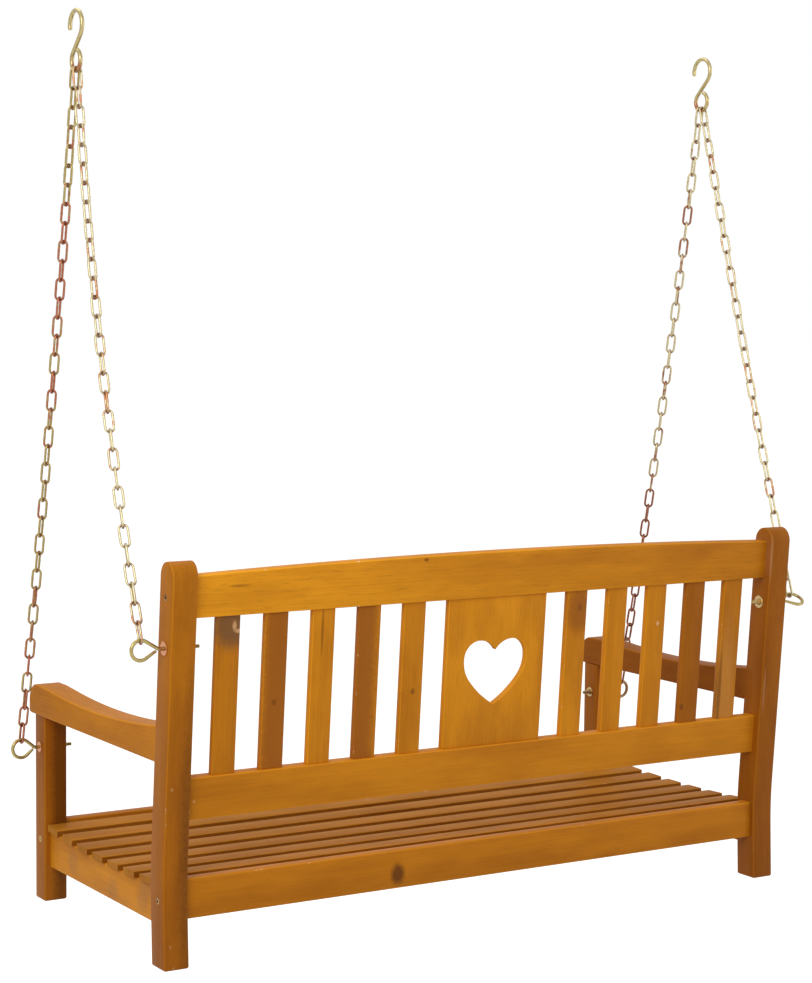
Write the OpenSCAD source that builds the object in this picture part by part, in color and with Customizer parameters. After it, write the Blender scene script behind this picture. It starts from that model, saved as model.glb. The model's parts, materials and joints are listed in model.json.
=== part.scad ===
// Two-seat porch swing: a slatted hardwood bench hung on four long-link chains
// from a pair of S-hooks. X runs across the seat (left is +X, as the sitter sees
// it), -Y is the front, and Z = 0 is the level of the feet.

/* [Frame] */
// Width over the outer faces of the rear posts
overall_w = 1200; // [1050:10:1500]
// Depth from the front posts' front faces to the rear posts' rear faces
frame_depth = 507.5; // [470:0.5:560]
// Radius that eases the long edges of posts, rails and arms
edge_r = 3; // [1.5:0.5:4]

/* [Rear posts] */
// Height of the rear posts
rear_post_h = 628; // [600:1:700]
// Width of a rear post, across the seat
rear_post_w = 42; // [38:1:50]
// Depth of a rear post, front to back
rear_post_d = 46; // [42:1:56]
// Height at which the rear post bends
bend_z = 125; // [100:1:150]
// Radius of the bend, on the post's rear face
bend_r = 650; // [400:10:800]
// Recline of the post above the bend, in degrees
lean = 4.24; // [2:0.02:8]
// Kick-back of the leg below the bend, in degrees
kick = 2.6; // [1:0.1:5]

/* [Front posts] */
// Width of a front post
front_post_w = 40.5; // [36:0.5:46]
// Depth of a front post
front_post_d = 40; // [36:0.5:46]
// How far a front post's outer face stands in from a rear post's
front_post_in = 5.5; // [3:0.5:8]

/* [Armrests] */
// Height of an armrest's flat underside
arm_z = 317; // [290:1:345]
// Width of an armrest
arm_w = 46; // [42:1:60]
// Least thickness of an armrest, at the low point of its curved top
arm_t = 42; // [32:0.5:50]
// Radius of an armrest's hollow top
arm_dish_r = 1900; // [1600:50:4000]
// Distance from the front post's front face back to the arm's low point
arm_low_y = 237; // [215:1:290]
// How far an armrest runs past its front post
arm_nose = 10.5; // [4:0.5:20]
// Radius of the armrest's top front corner
arm_nose_r = 24; // [5:0.5:26]
// Stretch behind the front end over which the hollow top eases down to the nose
arm_ease_l = 81; // [60:1:110]
// Radius by which the top eases down there
arm_ease_r = 420; // [350:10:900]

/* [Back] */
// Thickness of the two back rails
back_rail_t = 22; // [20:1:28]
// How far the back rails stand in from the posts' rear faces
back_rail_in = 14; // [8:0.5:18]
// Height of the bottom back rail's lower edge
low_rail_z = 226; // [200:1:240]
// Height of the bottom back rail's upper edge
low_rail_top = 292.5; // [270:0.5:310]
// Height of the top back rail's lower edge
top_rail_z = 539.7; // [500:0.1:545]
// Height of the top back rail at its ends
top_rail_h = 65.2; // [58:0.1:72]
// Rise of the top back rail's arch at its middle
top_rail_crown = 10; // [4:0.5:16]
// Width of a back slat
back_slat_w = 40; // [34:1:48]
// Thickness of the back slats and the heart panel
back_slat_t = 12; // [9:0.5:14]
// Back slats on each side of the heart panel
slats_per_side = 5; // [5:1:5]
// Radius that eases the edges of the slats
slat_edge_r = 2; // [1:0.25:3]

/* [Heart panel] */
// Width of the heart panel
panel_w = 192; // [180:1:230]
// Radius of the heart's two lobes
lobe_r = 32; // [26:0.5:36]
// Distance from the panel's middle to the centre of a lobe
lobe_x = 28; // [22:0.5:30]
// Height of the lobes' centres
lobe_z = 440; // [420:1:460]
// Depth from the lobes' centres to the heart's point
heart_drop = 74; // [60:1:90]
// Bulge of the heart's sides
heart_bulge = 3; // [0:0.5:6]

/* [Seat] */
// Height of the rails that run under the seat's front and rear
seat_rail_z = 73; // [60:1:90]
// Depth of the front and rear seat rails
seat_rail_h = 62.8; // [55:0.1:70]
// Thickness of every seat rail
seat_rail_t = 22; // [20:1:28]
// How far the rear seat rail stands in from the posts' rear faces
rear_rail_in = 9; // [4:0.5:14]
// How far the side rails stand in from the rear posts' outer faces
side_rail_in = 15.8; // [12:0.2:18]
// Height of the side rails' lower edge
side_rail_z = 58.5; // [45:0.5:66]
// Number of seat slats
seat_slats = 7; // [7:1:7]
// Thickness of a seat slat
seat_slat_t = 11; // [9:0.5:14]
// Gap between two seat slats
seat_gap = 20.1; // [16:0.1:24]
// Gap between the front post and the first seat slat
first_gap = 1.9; // [1:0.1:4]
// Gap between the last seat slat and the rear seat rail
last_gap = 34; // [28:0.5:38]
// How far a seat slat runs past the side rail
slat_overhang = 5.8; // [2:0.2:10]
// Height of the slats' underside at the low point of the dish
dish_z = 113; // [104:0.5:118]
// Radius of the dished seat
dish_r = 2800; // [2200:50:5000]
// Distance from the front post's rear face back to the dish's low point
dish_low_y = 220; // [190:1:240]

/* [Joinery] */
// Length of the slats' tenons
tenon_l = 14; // [8:1:18]
// Thickness of the slats' tenons
tenon_t = 8; // [6:0.5:9]
// Shoulder at each side of a tenon
tenon_shoulder = 4; // [2:0.5:6]
// Clearance round a tenon
tenon_gap = 0.15; // [0.05:0.05:0.3]
// Diameter of the hardwood dowels
dowel_d = 8; // [6:0.5:10]
// Length of the dowels
dowel_l = 30; // [24:1:34]
// Spacing of the two dowels in a rail's end
dowel_spacing = 26; // [18:1:32]
// Clearance round a dowel or bolt, on the diameter
hole_gap = 0.4; // [0.2:0.1:0.8]
// Shank diameter of the frame bolts
bolt_d = 6; // [5:0.5:6.5]
// Length of the frame bolts under the head
bolt_l = 85; // [75:1:95]
// Head diameter of the frame bolts
bolt_head_d = 11; // [10:0.5:14]
// Head height of the frame bolts
bolt_head_h = 3.2; // [2.5:0.1:4]
// Width across flats of the bolts' hexagon socket
socket_af = 5; // [4:0.5:6]
// Diameter of the cross nuts in the rails
cross_nut_d = 10; // [9:0.5:12]
// Length of the cross nuts
cross_nut_l = 16; // [13:0.5:18]

/* [Eye bolts] */
// Rod diameter of the eye bolts
eye_wire = 5.8; // [5:0.1:6.5]
// Inner diameter of an eye
eye_hole = 24.8; // [22:0.2:28]
// Distance of the rear eye bolts below the top back rail
rear_eye_drop = 43.7; // [30:0.1:80]
// Height of the front eye bolts
front_eye_z = 262; // [200:1:285]
// Reach of a rear eye's centre beyond its post
rear_eye_reach = 39; // [36:0.5:44]
// Reach of a front eye's centre beyond its post
front_eye_reach = 33.5; // [33:0.5:40]
// Reach of the eye bolts past the inner faces of the posts
eye_tip = 16.5; // [12:0.5:26]
// Length of the plain neck between an eye and its washer
eye_neck = 8; // [5:0.5:10]
// Radius of the bend between an eye bolt's shank and its eye
neck_r = 8; // [6:0.5:12]
// Gap between the end of an eye's rod and its other leg
eye_gap = 0.2; // [0.1:0.1:0.6]
// Turn of the right rear eye about its shank, towards the front, in degrees
rear_right_turn = 60; // [0:5:70]
// Diameter of the rear eye bolts' washers
rear_washer_d = 22; // [18:0.5:26]
// Diameter of the front eye bolts' washers
front_washer_d = 18; // [16:0.5:24]
// Thickness of the washers
washer_t = 1.6; // [1.2:0.1:2]
// Width across flats of the nuts
nut_af = 10; // [9:0.5:11]
// Thickness of the nuts
nut_t = 5; // [4:0.5:6]
// Clearance of nuts and washers round a shank, on the diameter
nut_gap = 0.2; // [0.1:0.05:0.4]

/* [Chains] */
// Wire diameter of the chain
link_wire = 4; // [3.2:0.1:4.4]
// Pitch of the chain, which is the inner length of a link
link_pitch = 30.35; // [28:0.05:32]
// Outer width of a link
link_w = 17.5; // [16.5:0.1:20]
// Play between two links
link_play = 0.5; // [0.3:0.1:0.8]
// Links in a front chain
front_links = 37; // [35:1:39]
// Links in a rear chain
rear_links = 30; // [29:1:31]
// Bend of a front chain from its first link to its last, in degrees
front_bend = 4.5; // [2:0.5:12]
// Bend of a left rear chain from its first link to its last, in degrees
rear_bend = 16; // [8:0.5:24]
// How far the links of a chain wander about its line, in degrees
link_wander = 20; // [0:1:30]

/* [Hooks] */
// Wire diameter of the S-hooks
hook_wire = 7; // [6:0.1:7.4]
// Outer diameter of the open crook
crook_d = 53; // [50:0.5:58]
// Outer diameter of the closed loop
loop_d = 40; // [38.5:0.5:44]
// Distance of the hooks' plane from the middle of the seat
hook_x = 622.9; // [540:0.1:660]
// Overall height of a hook
hook_h = 101; // [98:0.5:108]
// Sweep of the crook, from its slanting leg round to its tip, in degrees
crook_sweep = 241; // [225:1:250]
// Sweep of the loop, from the slanting leg round to its end, in degrees
loop_sweep = 302; // [290:1:303]
// Angle between the hook's vertical and where each chain bears, in degrees
hook_spread = 15; // [14:0.1:18]

/* [Hidden] */

// Colours
honey = "#b8701f";
walnut = "#8f5014";
gold = "#c9a860";
copper = "#c87850";
beech = "#d8b078";

corner_steps = 3;
rod_sides = 12;
neck_steps = 3;
eye_steps = 18;
cut = 1;
wide = 2000;

// Rear post: straight leg, arc at the bend, straight upper part, rounded top
mid_r = bend_r + rear_post_d/2;
post_round = rear_post_d/2;
post_rise = (rear_post_h - post_round - bend_z - mid_r*sin(lean))/cos(lean);
back_y0 = bend_r*(1 - cos(lean));
back_z0 = bend_z + bend_r*sin(lean);
top_reach = back_y0 + post_rise*sin(lean);

// The plan centre of the whole swing is Y = 0
rear_y = (frame_depth + arm_nose - top_reach)/2;
front_y = rear_y - frame_depth;
post_in_y = front_y + front_post_d;
rear_post_x = overall_w/2 - rear_post_w/2;
front_post_x = overall_w/2 - front_post_in - front_post_w/2;
front_post_y = front_y + front_post_d/2;
side_rail_x = overall_w/2 - side_rail_in - seat_rail_t/2;
back_clear = overall_w - 2*rear_post_w;
front_clear = overall_w - 2*front_post_in - 2*front_post_w;
rear_rail_y = rear_y - rear_rail_in - seat_rail_t/2;
rail_mid_z = seat_rail_z + seat_rail_h/2;
dowel_z = (side_rail_z + dish_z)/2;
seat_rail_front = front_post_y + seat_rail_t/2;
seat_rail_rear = rear_rail_y - seat_rail_t/2;

// Back, measured in the plane of the reclined posts
top_rail_end = top_rail_z + top_rail_h;
rail_rear_drop = back_rail_in*sin(lean);
function up(z) = (z - back_z0 - rail_rear_drop)/cos(lean);
back_mid = -back_rail_in - back_rail_t/2;
slat_bottom = up(low_rail_top);
slat_top = up(top_rail_z);
slat_l = slat_top - slat_bottom;
back_gap = (back_clear - panel_w - 2*slats_per_side*back_slat_w)/(2*slats_per_side + 2);
function slat_x(k) = panel_w/2 + back_gap + back_slat_w/2 + k*(back_gap + back_slat_w);
crown_r = (pow(back_clear/2, 2) + pow(top_rail_crown, 2))/(2*top_rail_crown);
crown_steps = 16;

// Seat dish: the slats lie on flats that follow an arc
slat_pitch = (seat_rail_rear - post_in_y - first_gap - last_gap + seat_gap)/seat_slats;
seat_slat_w = slat_pitch - seat_gap;
slat_y0 = post_in_y + first_gap - seat_gap/2;
dish_y = post_in_y + dish_low_y;
function dish(y) = dish_z + dish_r - sqrt(pow(dish_r, 2) - pow(y - dish_y, 2));
function knot(k) = slat_y0 + k*slat_pitch;
function tilt(k) = atan2(dish(knot(k + 1)) - dish(knot(k)), slat_pitch);
function bearing(y, k) = dish(knot(k)) + (y - knot(k))*tan(tilt(k));
seat_slat_l = 2*(overall_w/2 - side_rail_in + slat_overhang);

// Bolts and nuts
top_bolt_z = (up(top_rail_z) + up(top_rail_end))/2;
bolt_past_nut = 12;
cross_nut_in = bolt_l - rear_post_w - bolt_past_nut + bolt_head_h;
cross_nut_y = (cross_nut_l - back_rail_t)/2;

// Eye bolts and chain ends
eye_r = (eye_hole + eye_wire)/2;
rear_eye_z = top_rail_z - rear_eye_drop;
rear_eye_y = rear_y + back_y0 + (rear_eye_z - back_z0)*tan(lean) - rear_post_d/2/cos(lean);
rear_eye_x = overall_w/2 + rear_eye_reach;
front_eye_x = overall_w/2 - front_post_in + front_eye_reach;
function eye_top(x, y, z, turn) = [x, y - eye_r*sin(turn), z + eye_r*cos(turn)];
front_wire = eye_top(front_eye_x, front_post_y, front_eye_z, 0);
rear_wire = eye_top(rear_eye_x, rear_eye_y, rear_eye_z, 0);
turned_wire = eye_top(rear_eye_x, rear_eye_y, rear_eye_z, rear_right_turn);

// A chain of n links that bends by b spans this chord between its end contacts
function chain_chord(n, b) = link_pitch*sin(b/2)/sin(b/2/n);
seat_in = (hook_wire + eye_wire)/2;
function flat_span(n, b, dx) = sqrt(pow(chain_chord(n, b) - seat_in, 2) - pow(dx, 2));

// The hook hangs where the front and rear chains' spans meet
loop_r = (loop_d - hook_wire)/2;
crook_r = (crook_d - hook_wire)/2;
bear_y = loop_r*sin(hook_spread);
bear_z = loop_r*cos(hook_spread);
front_pin = [front_wire[1] + bear_y, front_wire[2] + bear_z];
rear_pin = [rear_wire[1] - bear_y, rear_wire[2] + bear_z];
front_span = flat_span(front_links, front_bend, front_wire[0] - hook_x);
rear_span = flat_span(rear_links, rear_bend, rear_wire[0] - hook_x);
pin_line = rear_pin - front_pin;
pin_gap = norm(pin_line);
pin_unit = pin_line/pin_gap;
pin_foot = (pow(front_span, 2) - pow(rear_span, 2) + pow(pin_gap, 2))/(2*pin_gap);
pin_rise = sqrt(pow(front_span, 2) - pow(pin_foot, 2));
loop_y = front_pin[0] + pin_unit[0]*pin_foot - pin_unit[1]*pin_rise;
loop_z = front_pin[1] + pin_unit[1]*pin_foot + pin_unit[0]*pin_rise;
hook_rise = hook_h - (crook_d + loop_d)/2;
crook_z = loop_z + hook_rise;
hook_slant = asin((crook_r + loop_r)/hook_rise);
front_bear = [hook_x, loop_y - bear_y, loop_z - bear_z];
rear_bear = [hook_x, loop_y + bear_y, loop_z - bear_z];

// The chain's own bend where its two ends are given
function fit_bend(n, chord) =
    sqrt(max(0.001, 24*(1 - chord/(n*link_pitch))/(1 - 1/pow(n, 2))))*180/PI;

// ---- Helpers ----

// A cross-section with eased corners
function eased(w, h, r) = [
    for (c = [0:3], s = [0:corner_steps])
        let (
            a = 90*c + 90*s/corner_steps,
            side = (c == 0 || c == 3) ? 1 : -1,
            level = c < 2 ? 1 : -1
        )
        [side*(w/2 - r) + r*cos(a), level*(h/2 - r) + r*sin(a)]
];

// A solid through a list of rings that run anticlockwise about its path
module loft(rings) {
    n = len(rings[0]);
    last = len(rings) - 1;
    points = [for (ring = rings) each ring];
    walls = [
        for (i = [0:last - 1], j = [0:n - 1])
            let (a = i*n + j, b = i*n + (j + 1)%n)
            [a, a + n, b + n, b]
    ];
    start = [for (j = [0:n - 1]) j];
    finish = [for (j = [n - 1:-1:0]) last*n + j];
    polyhedron(points, concat([start], walls, [finish]));
}

// A straight board along X, with its section in Y and Z
module board_x(length, depth, height, r) {
    rotate([90, 0, 90])
        linear_extrude(length, center = true)
            polygon(eased(depth, height, r));
}

// A hole or rod along X, centred
module rod_x(d, length) {
    rotate([0, 90, 0])
        cylinder(d = d, h = length, center = true);
}

// A hole or rod along Y, centred
module rod_y(d, length) {
    rotate([90, 0, 0])
        cylinder(d = d, h = length, center = true);
}

// The reclined plane of the back, from the top of the posts' bend
module on_back() {
    translate([0, rear_y + back_y0, back_z0])
        rotate([-lean, 0, 0])
            children();
}

module right() {
    mirror([1, 0, 0])
        children();
}

module both() {
    children();
    right() children();
}

// ---- Dowels and bolts, as rods that serve for the pieces and their holes ----

module side_rail_dowels(d, length) {
    for (z = [-1, 1]) {
        translate([side_rail_x, post_in_y, dowel_z + z*dowel_spacing/2])
            rod_y(d, length);
        translate([side_rail_x, rear_y - rear_post_d, dowel_z + z*dowel_spacing/2])
            rod_y(d, length);
    }
}

module arm_dowels(d, length) {
    translate([front_post_x, front_post_y, arm_z])
        cylinder(d = d, h = length, center = true);
    translate([rear_post_x, 0, arm_z + arm_t/2])
        translate([0, rear_y + back_y0 + (arm_z + arm_t/2 - back_z0)*tan(lean), 0])
            translate([0, -rear_post_d/cos(lean), 0])
                rod_y(d, length);
}

module back_rail_dowels(d, length) {
    on_back()
        for (z = [-1, 1])
            translate([back_clear/2, back_mid, up((low_rail_z + low_rail_top)/2)])
                translate([0, 0, z*dowel_spacing/2])
                    rod_x(d, length);
}

module middle_rail_dowels(d, length) {
    for (y = [seat_rail_front, seat_rail_rear])
        translate([0, y, dowel_z])
            rod_y(d, length);
}

module seat_bolt_sites() {
    translate([overall_w/2, rear_rail_y, rail_mid_z])
        children();
    translate([overall_w/2 - front_post_in, front_post_y, rail_mid_z])
        children();
}

module top_bolt_site() {
    on_back()
        translate([overall_w/2, back_mid, top_bolt_z])
            children();
}

module bolt_sites() {
    seat_bolt_sites() children();
    top_bolt_site() children();
}

// A frame bolt's hole, with a pocket that sets its head flush
module bolt_hole() {
    translate([-(bolt_l + bolt_head_h)/2, 0, 0])
        rod_x(bolt_d + hole_gap, bolt_l + bolt_head_h + 2*cut);
    translate([-bolt_head_h/2 + cut/2, 0, 0])
        rod_x(bolt_head_d + hole_gap, bolt_head_h + cut);
}

// The bore for a cross nut, blind from the rail's front face
module cross_nut_hole() {
    translate([-rear_post_w - cross_nut_in, cross_nut_y - cut, 0])
        rod_y(cross_nut_d + hole_gap, cross_nut_l + 2*cut);
}

module frame_bolt() {
    difference() {
        union() {
            translate([-bolt_head_h/2, 0, 0])
                rod_x(bolt_head_d, bolt_head_h);
            translate([-(bolt_l + bolt_head_h)/2, 0, 0])
                rod_x(bolt_d, bolt_l + bolt_head_h);
        }
        rotate([0, 90, 0])
            cylinder(d = socket_af/cos(30), h = 2*bolt_head_h - cut, center = true, $fn = 6);
    }
}

// A cross nut, from its place beside a bolt's head
module cross_nut() {
    translate([-rear_post_w - cross_nut_in, 0, 0])
        difference() {
            translate([0, cross_nut_y, 0])
                rod_y(cross_nut_d, cross_nut_l);
            rod_x(bolt_d + 2*nut_gap, cross_nut_d + 2*cut);
        }
}

// ---- Posts ----

function post_ring(phi, run, depth) = [
    for (p = eased(rear_post_w, depth, min(edge_r, depth/2 - 0.1)))
        [
            rear_post_x + p[0],
            rear_y + bend_r - mid_r*cos(phi) + run*sin(phi) + p[1]*cos(phi),
            bend_z + mid_r*sin(phi) + run*cos(phi) - p[1]*sin(phi)
        ]
];

bend_steps = 5;
top_steps = 8;
top_turn = 82;
foot_steps = 3;
function foot_z(i) = edge_r*(1 - cos(90*i/foot_steps));
function foot_in(i) = edge_r*(1 - sin(90*i/foot_steps));
function kick_y(z) = rear_y + bend_r - mid_r/cos(kick) - (z - bend_z)*tan(kick);

// A level ring of a rear post's foot, set in by the foot's rounding
function rear_foot_ring(i) = [
    for (p = eased(rear_post_w - 2*foot_in(i), rear_post_d - 2*foot_in(i), edge_r))
        [rear_post_x + p[0], kick_y(foot_z(i)) + p[1]/cos(kick), foot_z(i)]
];
function front_foot_ring(i, z) = [
    for (p = eased(front_post_w - 2*foot_in(i), front_post_d - 2*foot_in(i), edge_r))
        [front_post_x + p[0], front_post_y + p[1], z]
];

post_rings = concat(
    [for (i = [0:foot_steps]) rear_foot_ring(i)],
    [for (i = [0:bend_steps]) post_ring(-kick + i*(lean + kick)/bend_steps, 0, rear_post_d)],
    [
        for (i = [0:top_steps])
            let (t = top_turn*i/top_steps)
            post_ring(lean, post_rise + post_round*sin(t), rear_post_d*cos(t))
    ]
);

front_post_rings = concat(
    [for (i = [0:foot_steps]) front_foot_ring(i, foot_z(i))],
    [front_foot_ring(foot_steps, arm_z)]
);

module rear_post() {
    difference() {
        loft(post_rings);
        translate([overall_w/2, rear_eye_y, rear_eye_z])
            rod_x(eye_wire + hole_gap, 3*rear_post_w);
        bolt_sites()
            bolt_hole();
        side_rail_dowels(dowel_d + hole_gap, dowel_l + cut);
        arm_dowels(dowel_d + hole_gap, dowel_l + cut);
        back_rail_dowels(dowel_d + hole_gap, dowel_l + cut);
    }
}

module front_post() {
    difference() {
        loft(front_post_rings);
        translate([front_post_x, front_post_y, front_eye_z])
            rod_x(eye_wire + hole_gap, 2*front_post_w);
        seat_bolt_sites()
            bolt_hole();
        side_rail_dowels(dowel_d + hole_gap, dowel_l + cut);
        arm_dowels(dowel_d + hole_gap, dowel_l + cut);
    }
}

// ---- Armrests ----

arm_front = front_y - arm_nose;
arm_low = front_y + arm_low_y;
arm_back = rear_y - rear_post_d + top_reach;
function arm_ease(s) = s < arm_ease_l ? pow(arm_ease_l - s, 2)/(2*arm_ease_r) : 0;
function arm_dish(y) = arm_dish_r - sqrt(pow(arm_dish_r, 2) - pow(y - arm_low, 2));
function arm_top(y) = arm_z + arm_t + arm_dish(y) - arm_ease(y - arm_front);
// The outer side is straight; the inner side tapers to finish flush with the rear post
function arm_wide(y) = arm_w + (rear_post_w - arm_w)*(y - arm_front)/(arm_back - arm_front);
function corner_drop(s, r) = s >= r ? 0 : r - sqrt(pow(r, 2) - pow(r - s, 2));

function arm_ring(y) = let (
        s = y - arm_front,
        high = arm_top(y) - corner_drop(s, arm_nose_r),
        low = arm_z + corner_drop(s, edge_r)
    )
    [
        for (p = eased(high - low, arm_wide(y), edge_r))
            [overall_w/2 - arm_wide(y)/2 + p[1], y, (high + low)/2 + p[0]]
    ];

nose_steps = 5;
arm_steps = 16;
arm_rings = concat(
    [
        for (i = [0:nose_steps])
            arm_ring(arm_front + arm_nose_r*(1 - cos(90*i/nose_steps)))
    ],
    [
        for (i = [1:arm_steps])
            arm_ring(arm_front + arm_nose_r + i*(arm_back - arm_front - arm_nose_r)/arm_steps)
    ]
);

module armrest() {
    difference() {
        loft(arm_rings);
        loft(post_rings);
        arm_dowels(dowel_d + hole_gap, dowel_l + cut);
        on_back()
            translate([rear_post_x, wide/2 - rear_post_d/2, 0])
                cube([2*arm_w, wide, wide], center = true);
    }
}

// ---- Back ----

function rail_top(x) = up(top_rail_end) + top_rail_crown - crown_r + sqrt(pow(crown_r, 2) - pow(x, 2));

top_rail_rings = [
    for (i = [0:crown_steps])
        let (
            x = back_clear*(i/crown_steps - 0.5),
            high = rail_top(x)
        )
        [
            for (p = eased(back_rail_t, high - slat_top, edge_r))
                [x, back_mid + p[0], (high + slat_top)/2 + p[1]]
        ]
];

// The tenons of the back slats and the panel, as pieces or, enlarged, as mortises
module tenons(x, width, gap) {
    translate([x, back_mid, (slat_bottom + slat_top)/2])
        cube([
            width - 2*tenon_shoulder + 2*gap,
            tenon_t + 2*gap,
            slat_l + 2*tenon_l + 6*gap
        ], center = true);
}

module mortises() {
    for (side = [-1, 1], k = [0:slats_per_side - 1])
        tenons(side*slat_x(k), back_slat_w, tenon_gap);
    tenons(0, panel_w, tenon_gap);
}

module top_rail() {
    difference() {
        on_back() loft(top_rail_rings);
        on_back() mortises();
        both() {
            top_bolt_site() bolt_hole();
            top_bolt_site() cross_nut_hole();
        }
    }
}

module bottom_rail() {
    difference() {
        on_back()
            translate([0, back_mid, (up(low_rail_z) + slat_bottom)/2])
                board_x(back_clear, back_rail_t, slat_bottom - up(low_rail_z), edge_r);
        on_back() mortises();
        both()
            back_rail_dowels(dowel_d + hole_gap, dowel_l + cut);
    }
}

module back_slat(k) {
    side = k < slats_per_side ? 1 : -1;
    place = k < slats_per_side ? slats_per_side - 1 - k : k - slats_per_side;
    on_back() {
        translate([side*slat_x(place), back_mid, slat_bottom])
            linear_extrude(slat_l)
                polygon(eased(back_slat_w, back_slat_t, slat_edge_r));
        tenons(side*slat_x(place), back_slat_w, 0);
    }
}

// The heart: two round lobes, and sides that swell a little on their way to the point
lobe_steps = 14;
side_steps = 6;
heart_point_z = up(lobe_z) - heart_drop;
notch_a = acos(-lobe_x/lobe_r);
side_a = -atan2(heart_drop, lobe_x) + acos(lobe_r/norm([lobe_x, heart_drop]));
function heart_lobe(s) = let (a = notch_a + s*(side_a - notch_a))
    [lobe_x + lobe_r*cos(a), up(lobe_z) + lobe_r*sin(a)];
heart_hip = heart_lobe(1);
function heart_side(s) = let (
        straight = heart_hip + s*([0, heart_point_z] - heart_hip),
        out = [cos(side_a), sin(side_a)]
    )
    straight + heart_bulge*sin(180*s)*out;
heart_half = concat(
    [for (i = [0:lobe_steps]) heart_lobe(i/lobe_steps)],
    [for (i = [1:side_steps - 1]) heart_side(i/side_steps)]
);
heart_outline = concat(
    heart_half,
    [[0, heart_point_z]],
    [for (i = [len(heart_half) - 1:-1:1]) [-heart_half[i][0], heart_half[i][1]]]
);

module heart_board() {
    on_back()
        difference() {
            union() {
                translate([0, back_mid, slat_bottom])
                    linear_extrude(slat_l)
                        polygon(eased(panel_w, back_slat_t, slat_edge_r));
                tenons(0, panel_w, 0);
            }
            translate([0, back_mid, 0])
                rotate([90, 0, 0])
                    linear_extrude(2*back_rail_t, center = true)
                        polygon(heart_outline);
        }
}

// ---- Seat ----

module seat_rail(y, length) {
    translate([0, y, rail_mid_z])
        board_x(length, seat_rail_t, seat_rail_h, edge_r);
}

module rear_rail() {
    difference() {
        seat_rail(rear_rail_y, back_clear);
        both() {
            seat_bolt_sites() bolt_hole();
            seat_bolt_sites() cross_nut_hole();
        }
        middle_rail_dowels(dowel_d + hole_gap, dowel_l + cut);
    }
}

module front_rail() {
    difference() {
        seat_rail(front_post_y, front_clear);
        both() {
            seat_bolt_sites() bolt_hole();
            seat_bolt_sites() cross_nut_hole();
        }
        middle_rail_dowels(dowel_d + hole_gap, dowel_l + cut);
    }
}

// A rail from front to back under the slats, with a flat for each slat
function dished_ring(x, y, z) = [
    for (p = eased(z - side_rail_z, seat_rail_t, slat_edge_r))
        [x + p[1], y, (z + side_rail_z)/2 + p[0]]
];

module dished_rail(x, from, to) {
    rings = concat(
        [dished_ring(x, from, bearing(from, 0))],
        [
            for (k = [0:seat_slats])
                if (knot(k) > from && knot(k) < to)
                    dished_ring(x, knot(k), dish(knot(k)))
        ],
        [dished_ring(x, to, dish(knot(seat_slats)))]
    );
    loft(rings);
}

module side_rail() {
    difference() {
        dished_rail(side_rail_x, post_in_y, rear_y - rear_post_d/2);
        loft(post_rings);
        translate([side_rail_x, rear_y, 0])
            cube([wide, rear_post_d, wide], center = true);
        side_rail_dowels(dowel_d + hole_gap, dowel_l + cut);
    }
}

module middle_rail() {
    difference() {
        dished_rail(0, seat_rail_front, seat_rail_rear);
        middle_rail_dowels(dowel_d + hole_gap, dowel_l + cut);
    }
}

module seat_slat(k) {
    translate([0, (knot(k) + knot(k + 1))/2, (dish(knot(k)) + dish(knot(k + 1)))/2])
        rotate([tilt(k), 0, 0])
            translate([0, 0, seat_slat_t/2])
                board_x(seat_slat_l, seat_slat_w, seat_slat_t, slat_edge_r);
}

// ---- Eye bolts ----

// A ring of points square to a path in the XZ plane that runs at angle a
function rod_ring(x, z, a, d, sides) = [
    for (i = [0:sides - 1])
        let (turn = 360*i/sides, r = d/2)
        [x - r*cos(turn)*sin(a), -r*sin(turn), z + r*cos(turn)*cos(a)]
];
function eye_ring(x, z, a) = rod_ring(x, z, a, eye_wire, rod_sides);

// An eye bolt bent from one rod, in the XZ plane: the shank runs to -X, and one
// leg of the eye grows out of it while the other ends just short of it
module eye(reach, post_w) {
    fork = reach - eye_neck - washer_t;
    rise = asin(eye_r/fork);
    leg_l = sqrt(pow(fork, 2) - pow(eye_r, 2));
    bend_x = -fork - neck_r*tan(rise/2);
    short = (eye_wire/2*(1 + cos(2*rise)) + eye_gap)/sin(2*rise);
    tip = eye_ring(-reach - post_w - eye_tip, 0, 0);
    bend = [
        for (i = [0:neck_steps])
            let (a = rise*i/neck_steps)
            eye_ring(bend_x + neck_r*sin(a), neck_r*(1 - cos(a)), a)
    ];
    loop = [
        for (i = [0:eye_steps])
            let (a = rise - i*(180 + 2*rise)/eye_steps)
            eye_ring(-eye_r*sin(a), eye_r*cos(a), a)
    ];
    end = eye_ring(short*cos(rise) - fork, -short*sin(rise), 180 - rise);
    loft(concat([tip], bend, loop, [end]));
}

module rear_eye_bolt(turn) {
    translate([rear_eye_x, rear_eye_y, rear_eye_z])
        rotate([turn, 0, 0])
            eye(rear_eye_reach, rear_post_w);
}

module front_eye_bolt() {
    translate([front_eye_x, front_post_y, front_eye_z])
        eye(front_eye_reach, front_post_w);
}

// Places children at a bolt's outer face, then at its inner face
module at_faces(x, y, z, post_w) {
    translate([x + washer_t/2, y, z])
        children();
    translate([x - post_w - washer_t/2, y, z])
        children();
}

module washer(d) {
    difference() {
        rod_x(d, washer_t);
        rod_x(eye_wire + nut_gap, 3*washer_t);
    }
}

module washers() {
    at_faces(overall_w/2, rear_eye_y, rear_eye_z, rear_post_w)
        washer(rear_washer_d);
    at_faces(overall_w/2 - front_post_in, front_post_y, front_eye_z, front_post_w)
        washer(front_washer_d);
}

module nut() {
    difference() {
        rotate([0, -90, 0])
            cylinder(d = nut_af/cos(30), h = nut_t, $fn = 6);
        rod_x(eye_wire + nut_gap, 3*nut_t);
    }
}

module nuts() {
    translate([overall_w/2 - rear_post_w - washer_t, rear_eye_y, rear_eye_z])
        nut();
    translate([overall_w/2 - front_post_in - front_post_w - washer_t, front_post_y, front_eye_z])
        nut();
}

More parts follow.
